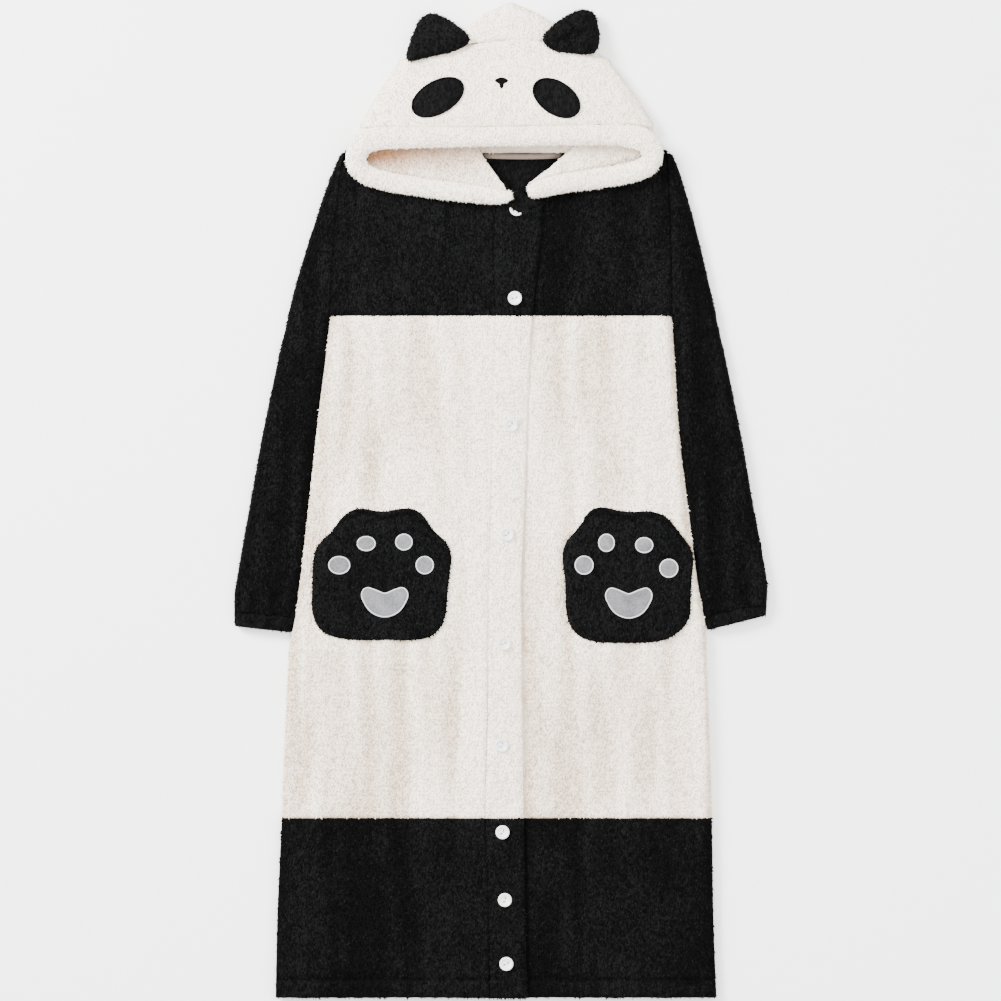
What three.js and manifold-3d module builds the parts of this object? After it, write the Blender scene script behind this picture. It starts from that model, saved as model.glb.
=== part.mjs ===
// Hooded, button-front robe of sherpa fleece in black and cream, laid flat and face up.
// Millimetres. +Z is up from the floor, the hood points to +Y, and left is the viewer's left (-X).
import * as THREE from "three";
import { mergeVertices } from "three/addons/utils/BufferGeometryUtils.js";
import Module from "manifold-3d";

const wasm = await Module();
wasm.setup();

// Driving dimensions.
const hemY = -646.7;
const lowerSeamY = -413;
const yokeSeamY = 240;
const shoulderY = 455.7;
const neckSeamY = 452.3; // back yoke to hood
const fleece = 4.5; // one layer, with its pile
const gap = 0.3; // between pieces that are sewn together
const layerGap = 2 * gap; // under a piece laid on a curved panel with other points
const armholeGap = 1; // sleeve beside the body: the curved seams are drawn with different rows
const frontTop = 17; // outer face of the front over the floor
const underlapTop = 14.2; // right front where the placket covers it
const underlapReach = 2; // right front past the placket's seam
const placketBottom = 15;
const placketTop = 21.2;
const placketRise = 3.6; // left front lifts this much to meet the placket
const placketBlend = 34; // width over which it lifts
const placketStep = 16; // width over which the right front sinks under the placket
const placketRound = { depth: 2.6, width: 5 }; // free edge
const placketFold = { depth: 0.9, width: 4 }; // stitched edge
const sideSeamZ = 9;
const sideRound = 13; // radius of the body's rolled sides
const sleeveTop = 17;
const sleeveRound = 10;
const cuffTopY = -153.3;
const cuffThick = 3.6;
const cuffMiddleZ = 8.6;
const cuffSwell = 8.5;
const cuffRipples = 10;
const cuffRipple = 1.1;
const pocketThick = 7;
const padThick = 1.4;
const eyePatchThick = 2.6;
const noseThick = 1.4;
const buttonRadius = 9;
const buttonHeight = 3.6;
const buttonHoleRadius = 1.1;
const buttonHoleSpread = 2.3;
const hoodRound = 17; // radius of the hood's rolled sides
const hoodSeamLow = 9; // side seam of the hood, at its crown and by the shoulders
const hoodSeamHigh = 15;
const hoodSideTop = 21;
const hoodCrownTop = 24;
const hoodBrimTop = 41;
const earThick = 12;
const earDroop = 30; // length over which an ear sinks from the crown seam, past the hood's edge
const earTipLift = 11;
const bandSides = 8;
const bandSteps = 48;
const tape = { low: 444.5, width: 6, thick: 1.4, left: -19, right: 74, sag: 1.2 };

const black = { color: 0x19191b, roughness: 0.95, metalness: 0 };
const cream = { color: 0xe9e3dc, roughness: 0.95, metalness: 0 };
const silver = { color: 0xc8c8c8, roughness: 0.6, metalness: 0 };
const pearl = { color: 0xe6e6e4, roughness: 0.35, metalness: 0 };
const beige = { color: 0xb9aea2, roughness: 0.8, metalness: 0 };

// Side seams of the body, and the armhole seams above the yoke seam.
const bodySides = [
  { y: 456, left: -201, right: 214 },
  { y: 437.7, left: -207, right: 217 },
  { y: 344, left: -216, right: 221 },
  { y: 240, left: -222, right: 222 },
  { y: 183, left: -228, right: 226 },
  { y: 79, left: -241, right: 232 },
  { y: 1, left: -249, right: 242 },
  { y: -103, left: -261, right: 255 },
  { y: -166, left: -269, right: 267 },
  { y: -181, left: -275, right: 266 },
  { y: -311, left: -281, right: 271 },
  { y: -415, left: -285, right: 274 },
  { y: -545, left: -291, right: 276 },
  { y: -647, left: -293, right: 280 },
];

// Outer folds of the sleeves.
const sleeveSides = [
  { y: 451, left: -205.8, right: 219.5 },
  { y: 446, left: -209.3, right: 223 },
  { y: 430, left: -216, right: 230 },
  { y: 417, left: -222, right: 234 },
  { y: 391, left: -231, right: 242 },
  { y: 339, left: -248, right: 256 },
  { y: 287, left: -264, right: 268 },
  { y: 240, left: -276, right: 279 },
  { y: 183, left: -290, right: 292 },
  { y: 79, left: -311, right: 313 },
  { y: -51, left: -334, right: 335 },
  { y: -129, left: -346.5, right: 346.5 },
  { y: -170, left: -346.5, right: 344 },
];

// Placket on the left front: stitched seam on the left, free edge on the right.
const placketEdges = [
  { y: 387, seam: -7, free: 54 },
  { y: 317, seam: -10, free: 49 },
  { y: 240, seam: -7, free: 40 },
  { y: 131, seam: -10, free: 35 },
  { y: 1, seam: -13, free: 31 },
  { y: -100, seam: -16, free: 26 },
  { y: -259, seam: -18, free: 27 },
  { y: -405, seam: -21, free: 29 },
  { y: -519, seam: -16, free: 31 },
  { y: -647, seam: -14, free: 34 },
];

// Edge of the V neck, where the hood is sewn on.
const neckEdges = [
  { y: 460, left: -29, right: 91 },
  { y: 443, left: -20, right: 74.5 },
  { y: 430, left: -10.5, right: 61.5 },
  { y: 421, left: -3.5, right: 47 },
  { y: 413, left: 3.5, right: 34.5 },
  { y: 405, left: 12, right: 28.5 },
  { y: 397, left: 16, right: 30 },
];

// Outline of the hood, from its peak to the shoulders.
const hoodSides = [
  { y: 645, left: 6, right: 27 },
  { y: 640, left: -5, right: 32 },
  { y: 635, left: -17, right: 44 },
  { y: 625, left: -30, right: 60 },
  { y: 613, left: -46, right: 77 },
  { y: 596, left: -80, right: 104 },
  { y: 573, left: -130, right: 140 },
  { y: 547, left: -148, right: 159 },
  { y: 521, left: -164, right: 177 },
  { y: 495, left: -178, right: 194 },
  { y: 486, left: -183, right: 198 },
  { y: 480, left: -186, right: 200 },
  { y: 458, left: -190, right: 203 },
];

// Seam across the crown that holds the ears, and the seam that joins the hood to its band.
const crownSeam = [
  { x: -128, y: 573 },
  { x: -79, y: 586 },
  { x: -38, y: 595 },
  { x: 6, y: 598 },
  { x: 52, y: 599 },
  { x: 96, y: 587 },
  { x: 138, y: 573 },
];
const peakOutline = [
  { x: -122, y: 578 },
  { x: -79, y: 597 },
  { x: -46, y: 613 },
  { x: -17, y: 635 },
  { x: 14, y: 646.7 },
  { x: 44, y: 635 },
  { x: 77, y: 613 },
  { x: 104, y: 597 },
  { x: 133, y: 578 },
];
const bandSeam = [
  { x: -180, y: 486 },
  { x: -131, y: 485.5 },
  { x: -79, y: 486 },
  { x: 9, y: 487.5 },
  { x: 112, y: 489 },
  { x: 193, y: 487 },
];

// Course of the hood's band: round the face opening, from one lapel's end to the other.
const bandCourse = [
  { x: 14, y: 396, z: 28.5, width: 9, height: 9 },
  { x: 3, y: 394, z: 28.5, width: 16, height: 11 },
  { x: -20, y: 396.5, z: 28, width: 21, height: 12 },
  { x: -66, y: 402, z: 25.5, width: 23, height: 13 },
  { x: -118, y: 409, z: 25, width: 22, height: 13 },
  { x: -155, y: 416, z: 25.5, width: 23, height: 13 },
  { x: -180, y: 426, z: 27, width: 24, height: 13 },
  { x: -189, y: 441, z: 29, width: 27, height: 13 },
  { x: -184, y: 457, z: 31, width: 28, height: 13 },
  { x: -169, y: 468.5, z: 32, width: 31, height: 13 },
  { x: -131, y: 470.5, z: 33, width: 27, height: 13 },
  { x: -79, y: 471.5, z: 35, width: 26, height: 13 },
  { x: 9, y: 473, z: 36, width: 26, height: 13 },
  { x: 91, y: 474, z: 35, width: 26, height: 13 },
  { x: 148, y: 474, z: 33, width: 26, height: 13 },
  { x: 181, y: 470, z: 32, width: 31, height: 13 },
  { x: 194, y: 459, z: 31, width: 28, height: 13 },
  { x: 197.5, y: 444, z: 29, width: 27, height: 13 },
  { x: 184, y: 431, z: 27, width: 25, height: 13 },
  { x: 155, y: 423, z: 25.5, width: 25, height: 13 },
  { x: 122, y: 418, z: 25, width: 25, height: 13 },
  { x: 72, y: 410.5, z: 25, width: 23, height: 13 },
  { x: 48, y: 404, z: 27.5, width: 21, height: 12 },
  { x: 36, y: 400.5, z: 27.5, width: 14, height: 10 },
];

// Where the hood's inside shows: between the shoulder line, the V neck and the band's inner edge.
const cheeks = {
  left: {
    lower: [
      { x: -172, y: 439 },
      { x: -135, y: 424.5 },
      { x: -77, y: 417 },
      { x: -30, y: 411.5 },
      { x: -8, y: 407.5 },
      { x: 7, y: 404 },
    ],
    upper: [
      { x: -168, y: neckSeamY },
      { x: -28, y: neckSeamY },
    ],
  },
  right: {
    lower: [
      { x: 36, y: 411 },
      { x: 52, y: 417.5 },
      { x: 78, y: 425.5 },
      { x: 126, y: 434 },
      { x: 178, y: 446 },
    ],
    upper: [
      { x: 88, y: neckSeamY },
      { x: 180, y: neckSeamY },
    ],
  },
};
const cheekTuck = 4.5; // how far a cheek runs on under the band
const cheekRim = 2; // its thickness there

// Soft folds of the cloth: a run between two ends, its half width, and its depth (ridges are negative).
const frontFolds = [
  { x1: -134, y1: 228, x2: -153, y2: 88, width: 20, depth: 2.4 },
  { x1: -153, y1: 88, x2: -174, y2: 30, width: 18, depth: 1.8 },
  { x1: -62, y1: 218, x2: -68, y2: 10, width: 20, depth: 2.2 },
  { x1: -209, y1: -205, x2: -252, y2: -380, width: 18, depth: 2.4 },
  { x1: -166, y1: -205, x2: -207, y2: -390, width: 19, depth: 2.4 },
  { x1: -92, y1: -200, x2: -131, y2: -390, width: 34, depth: 2.2 },
  { x1: 58, y1: 226, x2: 62, y2: 60, width: 17, depth: 2.6 },
  { x1: 58, y1: -86, x2: 76, y2: -385, width: 24, depth: 2.6 },
  { x1: 108, y1: 222, x2: 92, y2: 134, width: 16, depth: 1.9 },
  { x1: 146, y1: 196, x2: 142, y2: 40, width: 20, depth: 1.7 },
  { x1: 126, y1: -200, x2: 138, y2: -370, width: 18, depth: 1.9 },
  { x1: 172, y1: -200, x2: 207, y2: -350, width: 18, depth: 1.9 },
  { x1: 215, y1: -207, x2: 228, y2: -340, width: 15, depth: 1.6 },
  { x1: -252, y1: -420, x2: -256, y2: -640, width: 22, depth: -1.8 },
  { x1: -170, y1: -425, x2: -176, y2: -640, width: 44, depth: 2.2 },
  { x1: -79, y1: -425, x2: -84, y2: -640, width: 28, depth: -1.8 },
  { x1: 62, y1: -425, x2: 64, y2: -640, width: 24, depth: 2.2 },
  { x1: 160, y1: -440, x2: 166, y2: -640, width: 46, depth: -1.6 },
  { x1: -170, y1: 400, x2: -176, y2: 262, width: 22, depth: -1.6 },
  { x1: 78, y1: 370, x2: 70, y2: 262, width: 20, depth: 1.8 },
];
const foldTaper = 34;

const sleeveFolds = [
  { x1: -236, y1: 350, x2: -262, y2: 150, width: 11, depth: 1.8 },
  { x1: -262, y1: 110, x2: -300, y2: -90, width: 13, depth: 2 },
  { x1: -284, y1: -20, x2: -290, y2: -150, width: 8, depth: 1.7 },
  { x1: -316, y1: 20, x2: -322, y2: -150, width: 8, depth: 1.6 },
  { x1: 240, y1: 350, x2: 258, y2: 150, width: 11, depth: 1.8 },
  { x1: 262, y1: 110, x2: 292, y2: -90, width: 13, depth: 2 },
  { x1: 284, y1: -20, x2: 290, y2: -150, width: 8, depth: 1.7 },
  { x1: 316, y1: 20, x2: 322, y2: -140, width: 8, depth: 1.6 },
];

// Paw-shaped patch pockets: outline, toe pads and palm pad.
const pockets = {
  left: {
    centre: { x: -153, y: -98 },
    outline: [
      { x: -181, y: -9 },
      { x: -153, y: -16 },
      { x: -118, y: -8 },
      { x: -100, y: -18 },
      { x: -90, y: -39 },
      { x: -70, y: -53 },
      { x: -64, y: -66 },
      { x: -67, y: -96 },
      { x: -70, y: -123 },
      { x: -72, y: -152 },
      { x: -88, y: -177 },
      { x: -151, y: -181 },
      { x: -213, y: -179 },
      { x: -239, y: -166 },
      { x: -246, y: -139 },
      { x: -245, y: -106 },
      { x: -244, y: -73 },
      { x: -238, y: -55 },
      { x: -216, y: -39 },
      { x: -211, y: -26 },
      { x: -201, y: -15 },
      { x: -189, y: -10 },
    ],
    toes: [
      { x: -175, y: -56, width: 24, height: 19 },
      { x: -126, y: -54, width: 22, height: 21 },
      { x: -210, y: -84, width: 28, height: 23 },
      { x: -99, y: -84, width: 23, height: 23 },
    ],
    palm: { x: -151, y: -130, width: 61, height: 42 },
  },
  right: {
    centre: { x: 167, y: -98 },
    outline: [
      { x: 129, y: -7 },
      { x: 163, y: -16 },
      { x: 192, y: -13 },
      { x: 217, y: -21 },
      { x: 226, y: -34 },
      { x: 231, y: -42 },
      { x: 246, y: -58 },
      { x: 251, y: -71 },
      { x: 248, y: -96 },
      { x: 246, y: -123 },
      { x: 246, y: -153 },
      { x: 231, y: -172 },
      { x: 208, y: -183 },
      { x: 175, y: -185 },
      { x: 109, y: -181 },
      { x: 90, y: -166 },
      { x: 84, y: -139 },
      { x: 84, y: -106 },
      { x: 79, y: -73 },
      { x: 81, y: -58 },
      { x: 90, y: -45 },
      { x: 104, y: -36 },
      { x: 108, y: -21 },
      { x: 115, y: -11 },
    ],
    toes: [
      { x: 137, y: -55, width: 21, height: 23 },
      { x: 186, y: -58, width: 23, height: 20 },
      { x: 108, y: -84, width: 24, height: 24 },
      { x: 218, y: -88, width: 24, height: 24 },
    ],
    palm: { x: 166, y: -131, width: 61, height: 43 },
  },
};

const ears = {
  left: {
    centre: { x: -86, y: 600 },
    outline: [
      { x: -124, y: 571 },
      { x: -117, y: 599 },
      { x: -104, y: 628 },
      { x: -92, y: 634 },
      { x: -79, y: 631 },
      { x: -60, y: 619 },
      { x: -44, y: 605 },
      { x: -38, y: 596 },
      { x: -48, y: 589 },
      { x: -72, y: 580 },
      { x: -99, y: 575 },
      { x: -114, y: 570 },
    ],
  },
  right: {
    centre: { x: 98, y: 606 },
    outline: [
      { x: 52, y: 599 },
      { x: 61, y: 610 },
      { x: 76, y: 624 },
      { x: 96, y: 635 },
      { x: 110, y: 639 },
      { x: 121, y: 635 },
      { x: 126, y: 618 },
      { x: 128, y: 599 },
      { x: 125, y: 583 },
      { x: 112, y: 579 },
      { x: 92, y: 581 },
      { x: 68, y: 584 },
    ],
  },
};

const eyePatches = {
  left: { x: -82, y: 523, long: 37, short: 21.5, tilt: 30 },
  right: { x: 72, y: 522, long: 34, short: 21.5, tilt: -34 },
};
const nose = { x: 0.6, y: 541.5, width: 18.6, height: 15.6 };

const buttonPlaces = [
  { x: 20, y: 378 },
  { x: 18, y: 263 },
  { x: 13, y: 98 },
  { x: 8, y: -44 },
  { x: 4, y: -186 },
  { x: 1, y: -318 },
  { x: 2, y: -431 },
  { x: 5, y: -519 },
  { x: 7, y: -602 },
];

// Stretches of the body between its colour seams, and how many rows of points each has.
const frontColumns = 9;
const stretches = {
  yoke: { low: yokeSeamY + gap / 2, high: shoulderY, rows: 12 },
  body: { low: lowerSeamY + gap / 2, high: yokeSeamY - gap / 2, rows: 15 },
  lower: { low: hemY, high: lowerSeamY - gap / 2, rows: 6 },
};

// Rows of the front yokes between which their inside edges pass from the placket to the neck. The
// placket's head narrows there to its top.
const yokeRowY = (row) =>
  stretches.yoke.low + ((shoulderY - stretches.yoke.low) * row) / stretches.yoke.rows;
const neckFootY = yokeRowY(8);
const neckHeadY = yokeRowY(9);
const placketHeadSteps = 4;
const placketHeadRight = 28;

const robe = new THREE.Group();

const clamp = (value) => Math.min(1, Math.max(0, value));
const mix = (a, b, t) => a + (b - a) * t;
const smooth = (t) => clamp(t) ** 2 * (3 - 2 * clamp(t));

// Value of a table's column at y, the rows running from high y to low y.
function at(table, column, y) {
  let below = table.findIndex((row) => row.y <= y);
  if (below === 0) return table[0][column];
  if (below < 0) below = table.length - 1;
  const high = table[below - 1];
  const low = table[below];
  return mix(high[column], low[column], clamp((high.y - y) / (high.y - low.y)));
}

// Height on the page of a line of points at x, the points running to the right.
function acrossAt(points, x) {
  const next = Math.max(1, points.findIndex((p) => p.x >= x));
  const last = x > points[points.length - 1].x ? points.length - 1 : next;
  const a = points[last - 1];
  const b = points[last];
  return mix(a.y, b.y, clamp((x - a.x) / (b.x - a.x)));
}

// Point at the fraction t of a line of points, by number of points.
function along(points, t) {
  const place = clamp(t) * (points.length - 1);
  const first = Math.min(Math.floor(place), points.length - 2);
  const a = points[first];
  const b = points[first + 1];
  return { x: mix(a.x, b.x, place - first), y: mix(a.y, b.y, place - first) };
}

// Quarter-round rise from a seam: 0 at the edge, 1 from the radius inwards.
function roll(distance, radius) {
  const t = clamp(distance / radius);
  return Math.sqrt(Math.max(0, 1 - (1 - t) ** 2));
}

function foldDepth(folds, x, y) {
  let depth = 0;
  for (const fold of folds) {
    const dx = fold.x2 - fold.x1;
    const dy = fold.y2 - fold.y1;
    const length = Math.hypot(dx, dy);
    const run = ((x - fold.x1) * dx + (y - fold.y1) * dy) / length;
    const aside = ((x - fold.x1) * dy - (y - fold.y1) * dx) / length;
    const beyond = Math.max(0, -run, run - length) / foldTaper;
    depth += fold.depth * Math.exp(-((aside / fold.width) ** 2) - beyond ** 2);
  }
  return depth;
}

// Outer face of a front panel, before its rolled side.
function frontHeight(side, x, y) {
  const cloth = frontTop - foldDepth(frontFolds, x, y);
  if (side === "left") {
    const toSeam = at(placketEdges, "seam", y) - x;
    return mix(cloth, frontTop + placketRise, smooth(1 - toSeam / placketBlend));
  }
  const fromFree = x - at(placketEdges, "free", y) - 1;
  return mix(underlapTop, cloth, smooth(fromFree / placketStep));
}

function meshOf(positions, triangles, name, finish) {
  const geometry = new THREE.BufferGeometry();
  geometry.setAttribute("position", new THREE.Float32BufferAttribute(positions, 3));
  geometry.setIndex(triangles);
  geometry.computeVertexNormals();
  const mesh = new THREE.Mesh(geometry, new THREE.MeshStandardMaterial(finish));
  mesh.name = name;
  robe.add(mesh);
  return mesh;
}

// Closed solid between an outer and an inner grid of points; a ring's columns close on themselves.
function solidBetween(outer, inner, ring, name, finish) {
  const rows = outer.length;
  const columns = outer[0].length;
  const positions = [outer, inner].flat(2).flatMap((p) => [p.x, p.y, p.z]);
  const out = (i, j) => i * columns + (j % columns);
  const into = (i, j) => rows * columns + out(i, j);
  const triangles = [];
  const quad = (a, b, c, d) => triangles.push(a, b, c, a, c, d);
  const spans = ring ? columns : columns - 1;
  for (let j = 0; j < spans; j++) {
    for (let i = 0; i < rows - 1; i++) {
      quad(out(i, j), out(i, j + 1), out(i + 1, j + 1), out(i + 1, j));
      quad(into(i, j), into(i + 1, j), into(i + 1, j + 1), into(i, j + 1));
    }
    quad(out(0, j + 1), out(0, j), into(0, j), into(0, j + 1));
    quad(out(rows - 1, j), out(rows - 1, j + 1), into(rows - 1, j + 1), into(rows - 1, j));
  }
  for (let i = 0; i < rows - 1 && !ring; i++) {
    quad(out(i, 0), out(i + 1, 0), into(i + 1, 0), into(i, 0));
    quad(out(i + 1, spans), out(i, spans), into(i, spans), into(i + 1, spans));
  }
  return meshOf(positions, triangles, name, finish);
}

// Slope of a row of points on the page, from its middle to its end, or none for a row that is level.
function rowSlope(row) {
  const first = row[0];
  const middle = row[row.length >> 1];
  const last = row[row.length - 1];
  const isLevel = Math.abs(last.y - first.y) + Math.abs(middle.y - first.y) < 1;
  return isLevel ? 0 : (last.y - middle.y) / (last.x - middle.x);
}

// Wall of cloth behind a grid of outer points. Its thickness runs level at the rows and columns of a
// rolled edge, and stays in the cut along the first and last rows and the columns that are cut straight.
// Past the row straightFrom, the level columns are cut straight too.
function clothWall(outer, name, finish, options = {}) {
  const { thick = () => fleece, levelColumns = [], levelRows = [], straightColumns = [] } = options;
  const { straightFrom = Infinity, ring = false } = options;
  const columns = outer[0].length;
  const lastRow = outer.length - 1;
  const side = new THREE.Vector3();
  const run = new THREE.Vector3();
  const inner = outer.map((row, i) =>
    row.map((p, j) => {
      const before = ring ? (j + columns - 1) % columns : Math.max(0, j - 1);
      const after = ring ? (j + 1) % columns : Math.min(columns - 1, j + 1);
      side.subVectors(row[after], row[before]);
      run.subVectors(outer[Math.min(lastRow, i + 1)][j], outer[Math.max(0, i - 1)][j]);
      const normal = new THREE.Vector3().crossVectors(side, run);
      const level = levelColumns.includes(j) && i < straightFrom;
      if (straightColumns.includes(j) || (levelColumns.includes(j) && !level)) normal.x = 0;
      if ((i === 0 || i === lastRow) && !levelRows.includes(i)) normal.y = normal.x * rowSlope(row);
      if (level || levelRows.includes(i)) normal.z = 0;
      return p.clone().addScaledVector(normal.normalize(), -thick(i, j));
    }),
  );
  return solidBetween(outer, inner, ring, name, finish);
}

const evenSteps = (count) => Array.from({ length: count + 1 }, (_, i) => i / count);
const circleSteps = (count) => Array.from({ length: count }, (_, k) => (k / count) * Math.PI * 2);

// Distances from a rolled edge: close together on the roll, then even out to the far side.
function edgeSteps(width, radius, rollSteps, flatSteps) {
  const steps = evenSteps(rollSteps).map((t) => radius * (1 - Math.cos((t * Math.PI) / 2)));
  for (let i = 1; i <= flatSteps; i++) steps.push(mix(radius, width, i / flatSteps));
  return steps;
}

// Edge of a front panel towards the middle: under the placket, and up the V neck.
function insideEdge(side, isYoke, y) {
  const inNeck = isYoke ? clamp((y - neckFootY) / (neckHeadY - neckFootY)) : 0;
  const seam = at(placketEdges, "seam", Math.min(y, inNeck ? neckFootY : y));
  const neck = at(neckEdges, side, Math.max(y, neckHeadY));
  if (side === "left") return mix(seam, neck - gap, inNeck);
  return inNeck ? neck + gap : seam + underlapReach;
}

// Points of the right front either side of the placket's free edge, and the close ones by the neck
// that match them in number.
const underlapSteps = [18, 8, -0.5];
const neckStep = 0.3;

// One front panel between two heights, from the side (or armhole) to the placket.
function frontPanel(side, kind, finish) {
  const left = side === "left";
  const isYoke = kind === "yoke";
  const { low, high, rows } = stretches[kind];
  const outer = evenSteps(rows).map((t) => {
    const y = mix(low, high, t);
    const edge = at(bodySides, side, y);
    const inside = insideEdge(side, isYoke, y);
    const free = at(placketEdges, "free", y);
    const underlap = !left && !(isYoke && y >= neckHeadY);
    const beside = underlap ? free + underlapSteps[0] : inside;
    const width = Math.abs(beside - edge);
    const steps = isYoke
      ? evenSteps(frontColumns).map((s) => s * width)
      : edgeSteps(width, sideRound, 3, frontColumns - 2);
    const across = steps.map((distance) => edge + Math.sign(inside - edge) * distance);
    if (!left && underlap) across.push(free + underlapSteps[1], free + underlapSteps[2], inside);
    if (!left && !underlap) across.push(...[1, 2, 3].map((k) => beside - neckStep * k));
    return across.map((x) => {
      const distance = Math.abs(x - edge);
      const shoulder = isYoke ? roll(high - y, sideRound) : 1;
      const rise = (isYoke ? 1 : roll(distance, sideRound)) * shoulder;
      return new THREE.Vector3(x, y, mix(sideSeamZ + gap / 2, frontHeight(side, x, y), rise));
    });
  });
  if (!left) for (const row of outer) row.reverse();
  const last = outer[0].length - 1;
  const sideColumn = left ? 0 : last;
  const options = isYoke
    ? { straightColumns: [0, last], levelRows: [outer.length - 1] }
    : { levelColumns: [sideColumn], straightColumns: [last - sideColumn] };
  return clothWall(outer, `front_${side}_${kind}`, finish, options);
}

// One back panel between two heights: flat on the floor, rolled up at the side seams.
function backPanel(kind, flatSteps, finish) {
  const isYoke = kind === "yoke";
  const { low, rows } = stretches[kind];
  const high = isYoke ? neckSeamY : stretches[kind].high;
  const outer = evenSteps(rows).map((t) => {
    const y = mix(low, high, t);
    const left = at(bodySides, "left", y);
    const right = at(bodySides, "right", y);
    const half = (right - left) / 2;
    const yokeSteps = evenSteps(flatSteps).map((s) => s * half);
    const steps = isYoke ? yokeSteps : edgeSteps(half, sideRound, 3, flatSteps);
    const across = [...steps, ...steps.slice(0, -1).reverse().map((s) => 2 * half - s)];
    return across.map((distance) => {
      const fromEdge = Math.min(distance, 2 * half - distance);
      const rise = isYoke ? 1 : roll(fromEdge, sideRound);
      return new THREE.Vector3(right - distance, y, mix(sideSeamZ - gap / 2, 0, rise));
    });
  });
  const last = outer[0].length - 1;
  const options = isYoke ? { straightColumns: [0, last] } : { levelColumns: [0, last] };
  return clothWall(outer, `back_${kind}`, finish, options);
}

// Placket along the left front. In the yoke it narrows to a head at the foot of the V neck.
function placket(kind, finish) {
  const isYoke = kind === "yoke";
  const { low, rows } = stretches[kind];
  const high = isYoke ? neckFootY : stretches[kind].high;
  const heights = evenSteps(rows).map((t) => mix(low, high, t));
  const headSteps = evenSteps(placketHeadSteps).slice(1);
  if (isYoke) heights.push(...headSteps.map((t) => mix(neckFootY, neckHeadY, t)));
  const across = [0, 0.06, 0.5, 0.94, 1];
  const grid = heights.map((y) => {
    const seam = insideEdge("left", isYoke, y) + 2 * gap;
    const inHead = isYoke ? smooth((y - neckFootY) / (neckHeadY - neckFootY)) : 0;
    const width = mix(at(placketEdges, "free", y), placketHeadRight, inHead) - seam;
    return across.map((s) => {
      const atFree = placketRound.depth * (1 - roll((1 - s) * width, placketRound.width));
      const atSeam = placketFold.depth * (1 - roll(s * width, placketFold.width));
      return new THREE.Vector3(seam + s * width, y, placketTop - atFree - atSeam);
    });
  });
  const inner = grid.map((row) => row.map((p) => new THREE.Vector3(p.x, p.y, placketBottom)));
  return solidBetween(grid, inner, false, `placket_${kind}`, finish);
}

// Sleeve: one wall from the front armhole over the outer fold to the back armhole, closed by an underarm
// seam. Each is in three stretches. Its rows slant towards the cuff.
const cuffSlant = { left: 8, right: 19 };
const cuffFootY = { left: -170, right: -167 };
const narrowShare = 0.3; // of the sleeve's width that its wall may take where it runs out at the shoulder
const slantAt = (side, y) => cuffSlant[side] * smooth((20 - y) / 170);
const sleeveStretches = {
  upper: [195 + gap / 2, 237, 244, 285, 330, 372, 404, 424, 436, 446, 451],
  middle: [gap / 2, 40, 90, 145, 195 - gap / 2],
  lower: [-153, -129, -88, -45, -gap / 2],
};

function sleeveRow(side, y, topSteps, bottomSteps) {
  const sign = side === "left" ? -1 : 1;
  const nearUnderarm = y < yokeSeamY;
  const inside = at(bodySides, side, Math.max(y, cuffFootY[side])) + sign * armholeGap;
  const outside = at(sleeveSides, side, y);
  const width = Math.abs(outside - inside);
  const outerRoll = Math.min(sleeveRound, width * 0.85);
  const innerRoll = nearUnderarm ? Math.min(sleeveRound, width * 0.3) : 0;
  const slant = slantAt(side, y);
  const point = (fraction, onTop) => {
    const distance = fraction * width;
    const x = inside + sign * distance;
    const yHere = y + slant * fraction;
    let rise = roll(width - distance, outerRoll);
    if (innerRoll) rise *= roll(distance, innerRoll);
    const top = sleeveTop - foldDepth(sleeveFolds, x, yHere);
    const z = onTop ? mix(sideSeamZ + gap / 2, top, rise) : mix(sideSeamZ - gap / 2, 0, rise);
    return new THREE.Vector3(x, yHere, z);
  };
  const rollOf = (radius, t) => (radius / width) * (1 - Math.cos((t * Math.PI) / 2));
  const innerFractions = innerRoll ? [0, rollOf(innerRoll, 0.5), rollOf(innerRoll, 1)] : [0, 0.03, 0.08];
  const outerFractions = [1 - rollOf(outerRoll, 1), 1 - rollOf(outerRoll, 0.5)];
  const flatSteps = (count) => {
    const inSteps = evenSteps(count + 1).slice(1, -1);
    return inSteps.map((t) => mix(innerFractions[2], outerFractions[0], t));
  };
  const top = [...innerFractions, ...flatSteps(topSteps), ...outerFractions, 1];
  const bottom = [...innerFractions, ...flatSteps(bottomSteps), ...outerFractions];
  return [...top.map((f) => point(f, true)), ...bottom.reverse().map((f) => point(f, false))];
}

function sleeve(side, stretch, finish) {
  const heights = sleeveStretches[stretch];
  const rows = heights.map((y) => sleeveRow(side, y, 3, 1));
  if (side === "left") for (const row of rows) row.reverse();
  const last = rows[0].length - 1;
  const walls = heights.map((y) => {
    const width = Math.abs(at(sleeveSides, side, y) - at(bodySides, side, y));
    return Math.min(fleece, width * narrowShare);
  });
  const straightFrom = stretch === "upper" ? heights.findIndex((y) => y > yokeSeamY) : Infinity;
  const options = { thick: (i) => walls[i], levelColumns: [0, last], straightFrom };
  return clothWall(rows, `sleeve_${side}_${stretch}`, finish, options);
}

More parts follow.
